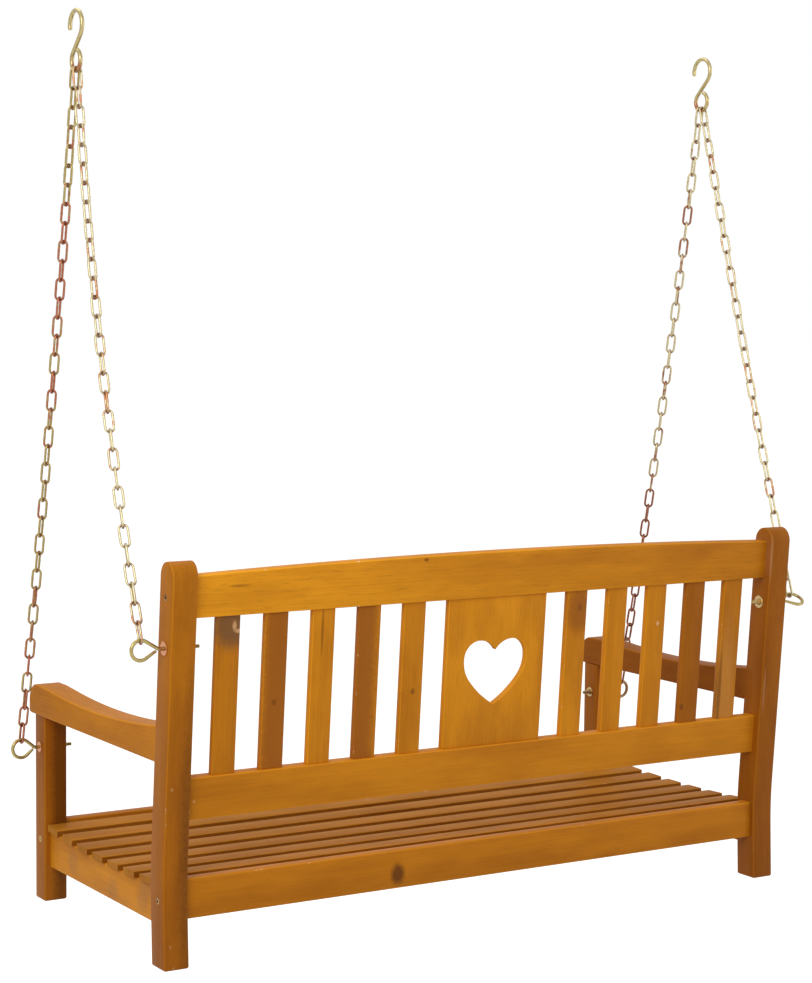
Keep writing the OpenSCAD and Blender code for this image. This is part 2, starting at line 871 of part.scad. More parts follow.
// ---- Chains ----

// One link along Z, wide along X, as bent from one wire
module link() {
    end_r = (link_w - link_wire)/2;
    straight = link_pitch + link_play + link_wire - 2*end_r;
    for (end = [0, 180])
        rotate([0, end, 0])
            translate([0, 0, straight/2])
                rotate([90, 0, 0])
                    rotate_extrude(angle = 180)
                        translate([end_r, 0])
                            circle(d = link_wire);
    for (side = [-1, 1])
        translate([side*end_r, 0, 0])
            cylinder(d = link_wire, h = straight, center = true);
}

// Links first to last of a chain that bends by the given angle between two wires
module chain(hook_end, eye_end, count, bend, first, last) {
    line = (eye_end - hook_end)/norm(eye_end - hook_end);
    from = hook_end - line*hook_wire/2;
    to = eye_end + line*eye_wire/2;
    arc_r = norm(to - from)/2/sin(bend/2);
    closing = count%2 == 0 ? 0 : 90;
    translate(from)
        rotate([acos(-line[2]), 0, atan2(line[1], line[0]) - 90])
            translate([0, arc_r*cos(bend/2), -arc_r*sin(bend/2)])
                for (k = [first:last])
                    rotate([(k + 0.5)*bend/count - bend/2, 0, 0])
                        translate([0, -arc_r*cos(bend/2/count), 0])
                            rotate([0, 0, link_turn(k, count, closing)])
                                link();
}

// Alternate links stand square to each other; the whole chain winds a little
function link_turn(k, count, closing) = 90*(k%2)
    + closing*k/(count - 1)
    + link_wander*sin(360*k/(count - 1));

module left_front(first, last) {
    chain(front_bear, front_wire, front_links, front_bend, first, last);
}

module left_rear(first, last) {
    chain(rear_bear, rear_wire, rear_links, rear_bend, first, last);
}

module right_rear(first, last) {
    length = norm(turned_wire - rear_bear) + seat_in;
    right()
        chain(rear_bear, turned_wire, rear_links, fit_bend(rear_links, length), first, last);
}

// ---- Hooks ----

hook_sides = 16;
crook_steps = 20;
loop_steps = 25;

function hook_ring(centre, r, turn, way) = rod_ring(
    r*cos(turn), centre + r*sin(turn), turn + way*90, hook_wire, hook_sides
);

// A hook's crook and loop lie one over the other, joined by a slanting leg
module s_hook() {
    crook = [
        for (i = [0:crook_steps])
            hook_ring(hook_rise, crook_r, (1 - i/crook_steps)*crook_sweep - hook_slant, -1)
    ];
    loop = [
        for (i = [0:loop_steps])
            hook_ring(0, loop_r, 180 - hook_slant + i*loop_sweep/loop_steps, 1)
    ];
    translate([hook_x, loop_y, loop_z])
        rotate([0, 0, 90])
            loft(concat(crook, loop));
}

// ---- Sub-parts ----

module left_rear_post() color(honey) rear_post();
module right_rear_post() color(honey) right() rear_post();
module left_front_post() color(walnut) front_post();
module right_front_post() color(walnut) right() front_post();
module left_armrest() color(honey) armrest();
module right_armrest() color(honey) right() armrest();
module left_side_rail() color(honey) side_rail();
module right_side_rail() color(honey) right() side_rail();
module front_seat_rail() color(honey) front_rail();
module rear_seat_rail() color(honey) rear_rail();
module middle_seat_rail() color(walnut) middle_rail();
module top_back_rail() color(honey) top_rail();
module bottom_back_rail() color(honey) bottom_rail();
module heart_panel() color(honey) heart_board();
module seat_slat_n(k) color(honey) seat_slat(k - 1);
module back_slat_n(k) color(walnut) back_slat(k - 1);

module dowels() {
    color(beech) {
        both() {
            side_rail_dowels(dowel_d, dowel_l);
            arm_dowels(dowel_d, dowel_l);
            back_rail_dowels(dowel_d, dowel_l);
        }
        middle_rail_dowels(dowel_d, dowel_l);
    }
}

module frame_bolts() {
    color(gold)
        both()
            bolt_sites()
                frame_bolt();
}

module cross_nuts() {
    color(gold)
        both()
            bolt_sites()
                cross_nut();
}

module left_rear_eye_bolt() color(gold) rear_eye_bolt(0);
module right_rear_eye_bolt() color(gold) right() rear_eye_bolt(rear_right_turn);
module left_front_eye_bolt() color(gold) front_eye_bolt();
module right_front_eye_bolt() color(gold) right() front_eye_bolt();
module eye_bolt_washers() color(copper) both() washers();
module eye_bolt_nuts() color(gold) both() nuts();

module left_top_links() {
    color(gold) {
        left_front(0, 0);
        left_rear(0, 0);
    }
}

module right_top_links() {
    color(gold) {
        right() left_front(0, 0);
        right_rear(0, 0);
    }
}

module left_front_chain() color(copper) left_front(1, front_links - 1);
module left_rear_chain() color(gold) left_rear(1, rear_links - 1);
module right_front_chain() color(copper) right() left_front(1, front_links - 1);
module right_rear_chain() color(gold) right_rear(1, rear_links - 1);
module left_hook() color(gold) s_hook();
module right_hook() color(gold) right() s_hook();

left_rear_post();
right_rear_post();
left_front_post();
right_front_post();
left_armrest();
right_armrest();
left_side_rail();
right_side_rail();
front_seat_rail();
rear_seat_rail();
middle_seat_rail();
top_back_rail();
bottom_back_rail();
heart_panel();
seat_slat_n(1);  // seat_slat_1
seat_slat_n(2);  // seat_slat_2
seat_slat_n(3);  // seat_slat_3
seat_slat_n(4);  // seat_slat_4
seat_slat_n(5);  // seat_slat_5
seat_slat_n(6);  // seat_slat_6
seat_slat_n(7);  // seat_slat_7
back_slat_n(1);  // back_slat_1
back_slat_n(2);  // back_slat_2
back_slat_n(3);  // back_slat_3
back_slat_n(4);  // back_slat_4
back_slat_n(5);  // back_slat_5
back_slat_n(6);  // back_slat_6
back_slat_n(7);  // back_slat_7
back_slat_n(8);  // back_slat_8
back_slat_n(9);  // back_slat_9
back_slat_n(10);  // back_slat_10
dowels();
frame_bolts();
cross_nuts();
left_rear_eye_bolt();
right_rear_eye_bolt();
left_front_eye_bolt();
right_front_eye_bolt();
eye_bolt_washers();
eye_bolt_nuts();
left_top_links();
right_top_links();
left_front_chain();
left_rear_chain();
right_front_chain();
right_rear_chain();
left_hook();
right_hook();
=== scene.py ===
import json
import math

import bmesh
import bpy
import numpy as np
from bpy.props import (
    FloatProperty,
    FloatVectorProperty,
    IntProperty,
    PointerProperty,
)
from mathutils import Matrix, Vector
from mathutils.geometry import tessellate_polygon

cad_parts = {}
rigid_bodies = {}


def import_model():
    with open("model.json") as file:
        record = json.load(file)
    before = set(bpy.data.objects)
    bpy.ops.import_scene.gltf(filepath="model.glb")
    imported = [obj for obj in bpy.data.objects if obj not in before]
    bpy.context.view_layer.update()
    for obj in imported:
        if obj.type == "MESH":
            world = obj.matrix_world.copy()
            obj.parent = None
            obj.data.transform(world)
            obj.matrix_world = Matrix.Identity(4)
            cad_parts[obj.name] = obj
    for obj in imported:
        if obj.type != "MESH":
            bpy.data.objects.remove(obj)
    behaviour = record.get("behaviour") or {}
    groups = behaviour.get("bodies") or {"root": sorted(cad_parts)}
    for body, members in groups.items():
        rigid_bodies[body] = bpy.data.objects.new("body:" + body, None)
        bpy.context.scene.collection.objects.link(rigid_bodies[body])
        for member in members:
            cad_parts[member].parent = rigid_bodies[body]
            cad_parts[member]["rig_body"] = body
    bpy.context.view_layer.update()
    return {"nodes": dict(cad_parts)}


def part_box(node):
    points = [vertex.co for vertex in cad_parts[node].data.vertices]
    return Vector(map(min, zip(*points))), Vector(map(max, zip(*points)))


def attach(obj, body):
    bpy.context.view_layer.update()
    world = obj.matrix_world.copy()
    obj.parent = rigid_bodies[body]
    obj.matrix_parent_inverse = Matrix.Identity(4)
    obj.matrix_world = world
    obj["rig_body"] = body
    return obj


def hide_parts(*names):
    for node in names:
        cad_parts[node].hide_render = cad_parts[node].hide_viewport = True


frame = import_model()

bl_info = {
    "name": "Porch swing seat",
    "version": (1, 0, 0),
    "blender": (4, 5, 0),
    "location": "3D View > Sidebar > Porch swing",
    "description": "Dresses the porch swing seat in stained hardwood and yellow zinc",
    "category": "Object",
}

X_AXIS = Vector((1, 0, 0))
Z_AXIS = Vector((0, 0, 1))
NOWHERE = (0.0, 0.0, 0.0)
MM = 0.001
# A face counts as flat where its normal lies this far along an axis
FLAT = 0.985
# Corners of the boards sharper than this, in degrees, stay sharp
BOARD_EDGE = 34
# The numbers of the first seat slat and the first back slat among all boards
SEAT_BOARDS, BACK_BOARDS = 20.0, 40.0


# ---------------------------------------------------------------- settings

def length(name, description, default, low=0.0):
    return FloatProperty(
        name=name, description=description, default=default,
        min=low, unit="LENGTH", precision=5)


def colour(name, description, hexcode):
    return FloatVectorProperty(
        name=name, description=description, default=linear(hexcode),
        size=3, min=0.0, max=1.0, subtype="COLOR")


def amount(name, description, default, high=1.0):
    return FloatProperty(
        name=name, description=description, default=default,
        min=0.0, max=high, subtype="FACTOR" if high == 1.0 else "NONE")


def angle(name, description, degrees):
    return FloatProperty(
        name=name, description=description, default=math.radians(degrees),
        subtype="ANGLE")


def linear(hexcode):
    """A written colour as linear red, green and blue."""
    channels = [int(hexcode[i:i + 2], 16) / 255 for i in (1, 3, 5)]
    return tuple(
        c / 12.92 if c <= 0.04045 else ((c + 0.055) / 1.055) ** 2.4
        for c in channels)


class PorchWood(bpy.types.PropertyGroup):
    """Stain and wear of the hardwood, and the painted shade in the seat's gaps"""
    honey: colour("Honey", "Light tone of the stained frame", "#c87c12")
    umber: colour("Umber", "Dark tone of the frame's figure", "#a35d0a")
    straw: colour("Straw", "Light tone of the seat slats", "#c07c22")
    cocoa: colour("Cocoa", "Dark tone of the seat slats' figure", "#9c5f14")
    pore: colour("Pore", "Colour of pores and flecks", "#552a08")
    bare: colour("Bare wood", "Colour where the stain is rubbed off", "#dba673")
    pale: colour("Pale streak", "Colour of sapwood streaks", "#c8904e")
    # Painted shade: how much darker the seat slats' flanks are, where shade falls in the
    # gaps between them
    gaps: amount("Dark gaps", "How much darker the seat slats' flanks are", 0.45)
    mottle: amount("Mottle", "Strength of the soft clouds in the stain", 0.4)
    rub: amount("Rubbed edges", "How far the edges are rubbed pale", 0.5)
    gloss: amount("Gloss", "Specular level of the oiled surface", 0.12)
    sheen: amount("Roughness", "Roughness of the oiled surface", 0.45)


class PorchSlats(bpy.types.PropertyGroup):
    """Sizes of the seat and back slats"""
    seat_count: IntProperty(
        name="Seat slats", description="Number of slats in the seat", default=7, min=1)
    seat_width: length("Seat slat width", "Width of a seat slat", 0.040)
    seat_thick: length("Seat slat thickness", "Thickness of a seat slat", 0.011)
    seat_gap: length("Seat gap", "Gap between two seat slats", 0.0201)
    seat_first: length("First gap", "Gap from the front post to the first slat", 0.0019)
    dish_radius: length("Dish radius", "Radius of the dished seat", 2.8)
    dish_from_post: length("Dish low point", "From the front post to the low point", 0.22)
    dish_height: length("Dish height", "Height of the slats' underside there", 0.113)
    back_per_side: IntProperty(
        name="Back slats a side", description="Slats on each side of the panel",
        default=5, min=1)
    back_width: length("Back slat width", "Width of a back slat", 0.040)
    back_thick: length("Back slat thickness", "Thickness of a back slat", 0.012)
    panel_width: length("Panel width", "Width of the heart panel", 0.192)
    tenon: length("Tenon", "Length of a slat's tenon", 0.014)
    edge: length("Eased edge", "Radius of the slats' edges", 0.002)
    lean: angle("Recline", "Recline of the back", 4.24)
    heart_top_x: length("Lobe offset", "From the panel's middle to a lobe's top", 0.0314)
    heart_top_z: length("Lobe height", "Height of the lobes' tops", 0.469)
    heart_inner: length("Lobe's inner side", "Radius from the notch to a top", 0.0388)
    heart_lobe: length("Heart lobe", "Radius from a lobe's top to its widest", 0.03)
    heart_lobe_sweep: angle("Lobe sweep", "Sweep of a lobe's outer side", 83)
    heart_shoulder: length("Heart shoulder", "Radius below the widest place", 0.054)
    heart_shoulder_sweep: angle(
        "Shoulder sweep", "Sweep of the side below the widest place", 45)
    heart_flank: length("Heart flank", "Radius of the side down to the tip", 0.17)


class PorchChain(bpy.types.PropertyGroup):
    """Sizes and plating of the chains, and the painted shade at their joints"""
    wire: length("Wire", "Diameter of the links' wire", 0.004)
    width: length("Link width", "Outer width of a link", 0.0175)
    pitch: length("Pitch", "Inner length of a link", 0.03035)
    play: length("Play", "Play between two links", 0.0005)
    weld: amount("Weld", "How far the weld swells the wire", 0.14)
    wander: angle("Wander", "How far the links wander about the chain", 20)
    brass: colour("Plating", "Colour of the yellow zinc", "#c3b791")
    olive: colour("Olive plating", "Colour of the duller yellow zinc", "#a99863")
    pink: colour("Pink plating", "Colour where the plating turns pink", "#ae7450")
    copper: colour("Copper", "Colour of the outer washers", "#c98a5e")
    shade: colour("Tarnish", "Colour of the dull patches", "#5a3c20")
    # Painted shade: the red-brown where the links meet each other
    joint_shade: colour("Joints", "Colour where the links wear on each other", "#7c4024")


class PorchFittings(bpy.types.PropertyGroup):
    """Sizes of the hooks, eye bolts and their washers and nuts"""
    hook_wire: length("Hook wire", "Diameter of the hooks' wire", 0.007)
    crook: length("Crook", "Outer diameter of the open crook", 0.053)
    loop: length("Loop", "Outer diameter of the closed loop", 0.040)
    crook_sweep: angle("Crook sweep", "Sweep of the crook up to its tip", 241)
    loop_sweep: angle("Loop sweep", "Sweep of the loop up to its end", 302)
    rod: length("Eye bolt rod", "Diameter of the eye bolts' rod", 0.0058)
    eye: length("Eye", "Inner diameter of an eye", 0.0248)
    neck: length("Neck", "Plain neck between an eye and its washer", 0.008)
    neck_bend: length("Neck bend", "Radius of the bend at the neck", 0.008)
    thread: length("Thread pitch", "Pitch of the eye bolts' thread", 0.001)
    thread_depth: length("Thread depth", "Depth of the eye bolts' thread", 0.0005)
    threaded: length("Threaded length", "Length of thread on an eye bolt", 0.04)
    turned: angle("Turned eye", "Turn of the right rear eye about its shank", 60)


class PorchStudio(bpy.types.PropertyGroup):
    """Floor, lamps and camera"""
    drop: length("Hanging height", "Height of the feet over the floor", 0.43)
    key: amount("Key lamp", "Power of the key lamp, in watts", 88.0, 500.0)
    fill: amount("Fill lamp", "Power of the fill lamp, in watts", 34.0, 500.0)
    top: amount("Top lamp", "Power of the top lamp, in watts", 40.0, 500.0)
    ambient: amount("Ambient", "Brightness of the room", 0.5)
    focal: FloatProperty(
        name="Focal length", description="Focal length of the camera, in mm",
        default=85.18)


# ------------------------------------------------------------ node building

def arithmetic(operation, swapped=False):
    """A method that joins a field to another, or to a number, with a Math node."""
    def method(self, other):
        pair = (other, self) if swapped else (self, other)
        return self.nodes.math(operation, *pair)
    return method


class Field:
    """One output in a node tree. Sums on it add Math nodes."""

    def __init__(self, nodes, socket):
        self.nodes, self.socket = nodes, socket

    __add__, __radd__ = arithmetic("ADD"), arithmetic("ADD", True)
    __sub__, __rsub__ = arithmetic("SUBTRACT"), arithmetic("SUBTRACT", True)
    __mul__, __truediv__ = arithmetic("MULTIPLY"), arithmetic("DIVIDE")
    __gt__, __lt__ = arithmetic("GREATER_THAN"), arithmetic("LESS_THAN")


class Nodes:
    """Adds nodes to a tree from left to right and joins their sockets."""

    def __init__(self, tree):
        self.tree = tree

    def node(self, kind, *values, **settings):
        """A new node, with values for its inputs in order."""
        column = len(self.tree.nodes)
        node = self.tree.nodes.new(kind)
        node.location = (190 * column, -120 * (column % 5))
        for name, value in settings.items():
            setattr(node, name, value)
        for socket, value in zip([s for s in node.inputs if s.enabled], values):
            self.feed(socket, value)
        return node

    def outputs(self, kind, *values, **settings):
        """A new node's outputs by name."""
        node = self.node(kind, *values, **settings)
        return {s.name: Field(self, s) for s in node.outputs if s.enabled and s.name}

    def add(self, kind, *values, **settings):
        """A new node's first output."""
        return next(iter(self.outputs(kind, *values, **settings).values()))

    def feed(self, socket, value):
        if isinstance(value, Field):
            self.tree.links.new(value.socket, socket)
        elif value is not None:
            socket.default_value = value

    def geo(self, kind, *values, **settings):
        return self.add("GeometryNode" + kind, *values, **settings)

    def math(self, operation, *values):
        return self.add("ShaderNodeMath", *values, operation=operation)

    def vector(self, operation, *values):
        return self.add("ShaderNodeVectorMath", *values, operation=operation)

    def scaled(self, vector, factor):
        node = self.node("ShaderNodeVectorMath", vector, operation="SCALE")
        self.feed(node.inputs["Scale"], factor)
        return Field(self, node.outputs[0])

    def xyz(self, x=0.0, y=0.0, z=0.0):
        return self.add("ShaderNodeCombineXYZ", x, y, z)

    def parts(self, vector):
        return tuple(self.outputs("ShaderNodeSeparateXYZ", vector).values())

    def ramp(self, value, low, high, to_low=0.0, to_high=1.0, smooth=True):
        return self.add(
            "ShaderNodeMapRange", value, low, high, to_low, to_high,
            interpolation_type="SMOOTHSTEP" if smooth else "LINEAR")

    def noise(self, place, scale, detail, roughness):
        return self.add("ShaderNodeTexNoise", place, scale, detail, roughness, 2.0)

    def mix(self, factor, a, b, blend="MIX"):
        node = self.node("ShaderNodeMix", data_type="RGBA", blend_type=blend)
        self.feed(node.inputs[0], factor)
        for socket, value in zip(node.inputs[6:8], (a, b)):
            self.feed(socket, value if isinstance(value, Field) else (*value, 1.0))
        return Field(self, node.outputs[2])

    def bump(self, height, strength, distance):
        node = self.node("ShaderNodeBump")
        for label, value in (
                ("Strength", strength), ("Distance", distance), ("Height", height)):
            self.feed(node.inputs[label], value)
        return Field(self, node.outputs[0])

    def group(self, tree, **inputs):
        """The outputs of a node group, given its inputs by name."""
        node = self.node(tree.bl_idname.replace("Tree", "Group"), node_tree=tree)
        for label, value in inputs.items():
            self.feed(node.inputs[label.replace("_", " ")], value)
        return {s.name: Field(self, s) for s in node.outputs}

    def attribute(self, name, out="Fac"):
        return self.outputs("ShaderNodeAttribute", attribute_name=name)[out]

    def index(self):
        return self.geo("InputIndex")

    def random(self, low, high, seed):
        return self.add(
            "FunctionNodeRandomValue", low, high, self.index(), seed, data_type="FLOAT")

    def store(self, geometry, name, value, domain="POINT", kind="FLOAT"):
        return self.geo("StoreNamedAttribute", geometry, None, name, value,
                        data_type=kind, domain=domain)

    def smooth(self, geometry):
        return self.geo("SetShadeSmooth", geometry, None, True, domain="FACE")


def new_tree(name, kind, inputs, *outputs):
    """A node group's builder and its inputs by name. An input is given by its default,
    or by its kind of socket where it has none."""
    tree = bpy.data.node_groups.new(name, kind + "NodeTree")
    kinds = {float: "Float", int: "Int", tuple: "Vector"}
    for label, default in inputs.items():
        socket = default if isinstance(default, str) else kinds[type(default)]
        made = tree.interface.new_socket(
            name=label, in_out="INPUT", socket_type="NodeSocket" + socket)
        if socket != default:
            made.default_value = default
    for label in outputs:
        socket = "Geometry" if label == "Geometry" else "Float"
        tree.interface.new_socket(
            name=label, in_out="OUTPUT", socket_type="NodeSocket" + socket)
    n = Nodes(tree)
    return n, n.outputs("NodeGroupInput")


def end_tree(n, *values):
    n.node("NodeGroupOutput", *values)
    return n.tree


def end_pieces(n, geometry, material):
    """Ends a geometry tree with one real mesh in its material."""
    real = n.geo("RealizeInstances", geometry)
    return end_tree(n, n.geo("SetMaterial", real, None, material))


def modelled(name, source, key, values):
    """Runs a geometry tree on a source object and keeps the result as a plain mesh."""
    if key not in TREES:
        TREES[key] = TREE_MAKERS[key]()
    tree = TREES[key]
    modifier = source.modifiers.new(tree.name, "NODES")
    modifier.node_group = tree
    known = {
        item.name: item.identifier
        for item in tree.interface.items_tree
        if item.item_type == "SOCKET" and item.in_out == "INPUT"}
    for label, value in values.items():
        modifier[known[label]] = value
    source.update_tag()
    bpy.context.view_layer.update()
    graph = bpy.context.evaluated_depsgraph_get()
    mesh = bpy.data.meshes.new_from_object(
        source.evaluated_get(graph), preserve_all_data_layers=True, depsgraph=graph)
    if not mesh.polygons:
        raise RuntimeError(f"{name} came out empty")
    source.modifiers.remove(modifier)
    discard(source)
    mesh.name = name
    mesh.materials.clear()
    mesh.materials.append(values["Material"])
    mesh.polygons.foreach_set("material_index", np.zeros(len(mesh.polygons), np.int32))
    return in_scene(name, mesh)


def in_scene(name, data):
    """A new object that shows some data."""
    thing = bpy.data.objects.new(name, data)
    bpy.context.scene.collection.objects.link(thing)
    return thing


def discard(thing):
    data = thing.data
    bpy.data.objects.remove(thing)
    kind = bpy.data.meshes if isinstance(data, bpy.types.Mesh) else bpy.data.curves
    kind.remove(data)


def path_object(name, points):
    """An open path through points, for a tree to follow."""
    curve = bpy.data.curves.new(name, "CURVE")
    curve.dimensions = "3D"
    spline = curve.splines.new("POLY")
    spline.points.add(len(points) - 1)
    for point, place in zip(spline.points, points):
        point.co = (*place, 1.0)
    return in_scene(name, curve)


def mesh_object(name, vertices, faces=()):
    mesh = bpy.data.meshes.new(name)
    mesh.from_pydata(vertices, [], faces)
    mesh.update()
    return in_scene(name, mesh)


def reshaped(mesh, change):
    """Changes a mesh through a bmesh."""
    shape = bmesh.new()
    shape.from_mesh(mesh)
    change(shape)
    shape.to_mesh(mesh)
    shape.free()


def outward(shape):
    bmesh.ops.recalc_face_normals(shape, faces=shape.faces)


def smoothed(mesh, degrees):
    """Shades a mesh smooth up to an angle between its faces."""
    mesh.shade_smooth()
    mesh.set_sharp_from_angle(angle=math.radians(degrees))


def finish_piece(piece, nodes, material=None):
    """Rides the piece on its nodes' body, in place of the nodes, in its finish."""
    if material is not None:
        piece.data.materials.clear()
        piece.data.materials.append(material)
    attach(piece, frame["nodes"][nodes[0]]["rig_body"])
    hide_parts(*nodes)
    return piece


# ------------------------------------------------------------ frame readings

def merged(node):
    """A clean copy of a node's mesh, with its corners joined."""
    mesh = frame["nodes"][node].data.copy()

    def join(shape):
        bmesh.ops.remove_doubles(shape, verts=shape.verts, dist=1e-6)
        bmesh.ops.dissolve_degenerate(shape, edges=shape.edges, dist=1e-7)

    reshaped(mesh, join)
    mesh.update()
    return mesh


def solids(node):
    """The lowest and highest corners of each separate solid in a node."""
    mesh = merged(node)
    owner = list(range(len(mesh.vertices)))

    def root(i):
        while owner[i] != i:
            owner[i] = owner[owner[i]]
            i = owner[i]
        return i

    for edge in mesh.edges:
        a, b = (root(i) for i in edge.vertices)
        owner[a] = b
    groups = {}
    for vertex in mesh.vertices:
        groups.setdefault(root(vertex.index), []).append(vertex.co.copy())
    bpy.data.meshes.remove(mesh)
    return [
        tuple(Vector(pick(c[i] for c in corners) for i in range(3)) for pick in (min, max))
        for corners in groups.values()]


def middle(corners):
    return (corners[0] + corners[1]) / 2


# ------------------------------------------------------------ shader groups

def grain_group():
    """Figure, streaks, pores and clouds of a stained board."""
    n, given = new_tree(
        "stained_grain", "Shader",
        {"Grain": NOWHERE, "Board": 0.0, "Figure Scale": 9.0, "Figure Lines": 26.0},
        "Figure", "Streaks", "Pores", "Clouds", "Height")
    board = given["Board"]
    shift = n.vector("MULTIPLY", n.xyz(board, board, board), (0.37, 0.71, 1.93))
    place = n.vector("ADD", given["Grain"], shift)

    def drawn(length_, *noise):
        """Noise drawn out along the grain."""
        return n.noise(n.vector("MULTIPLY", place, (1.0, 1.0, length_)), *noise)

    contour = drawn(0.07, given["Figure Scale"], 2.0, 0.45)
    figure = n.ramp(n.math("SINE", contour * given["Figure Lines"]), -1.0, 1.0)
    streaks = drawn(0.018, 340.0, 3.0, 0.6)
    pores = n.ramp(drawn(0.045, 780.0, 1.0, 0.5), 0.6, 0.74)
    clouds = drawn(0.35, 20.0, 2.0, 0.5)
    return end_tree(n, figure, streaks, pores, clouds, streaks * 0.5 - pores)


def rub_group():
    """Where edges are rubbed bare and where small dents sit."""
    n, given = new_tree(
        "rubbed_edges", "Shader", {"Place": NOWHERE, "Edge": 0.0, "Amount": 0.45},
        "Bare", "Dents")
    place = given["Place"]
    line = 0.92 - given["Amount"] * 0.6
    bare = given["Edge"] * n.ramp(n.noise(place, 55.0, 4.0, 0.65), line, line + 0.1)
    return end_tree(n, bare, n.ramp(n.noise(place, 90.0, 2.0, 0.5), 0.7, 0.8))


def knot_group():
    """One knot: a dark heart with a soft halo, drawn out along the grain."""
    n, given = new_tree(
        "knot_mark", "Shader",
        {"Place": NOWHERE, "Centre": NOWHERE, "Stretch": (1.0, 1.0, 1.0), "Radius": 0.006},
        "Heart", "Halo")
    place = given["Place"]
    away = n.vector("MULTIPLY", n.vector("SUBTRACT", place, given["Centre"]),
                    given["Stretch"])
    reach = n.vector("LENGTH", away) / given["Radius"]
    reach = reach + (n.noise(place, 160.0, 2.0, 0.5) - 0.5) * 0.9
    return end_tree(n, n.ramp(reach, 1.1, 0.35), n.ramp(reach, 2.6, 0.9))


def plating_group():
    """Patches, tarnish and fine dimples of yellow zinc plating."""
    n, given = new_tree(
        "zinc_plating", "Shader",
        {"Place": NOWHERE, "Tone": 0.5, "Patch Scale": 60.0, "Tarnish": 0.3,
         "Pinkness": 0.0},
        "Pink", "Dull", "Height")
    place, scale = given["Place"], given["Patch Scale"]
    patches = n.noise(place, scale, 3.0, 0.6) + (given["Tone"] - 0.5) * 0.55
    fine = n.noise(place, scale * 7.0, 3.0, 0.6)
    return end_tree(n, n.ramp(patches + given["Pinkness"], 0.5, 0.72),
                    n.ramp(fine, 0.45, 0.75) * given["Tarnish"], fine)


# ------------------------------------------------------------ materials

# A darker board is redder too: the powers of a board's tone in red, green and blue
TONE_REACH = (0.87, 1.14, 1.3)
# Half the height over which a zone of the plating begins or ends
ZONE_BLUR = 0.03


def shaded(thing, shader, output):
    """The nodes and the shader of a new material, or of the room."""
    thing.use_nodes = True
    thing.node_tree.nodes.clear()
    n = Nodes(thing.node_tree)
    node = n.node("ShaderNode" + shader)
    n.node("ShaderNodeOutput" + output, Field(n, node.outputs[0]))
    return n, node


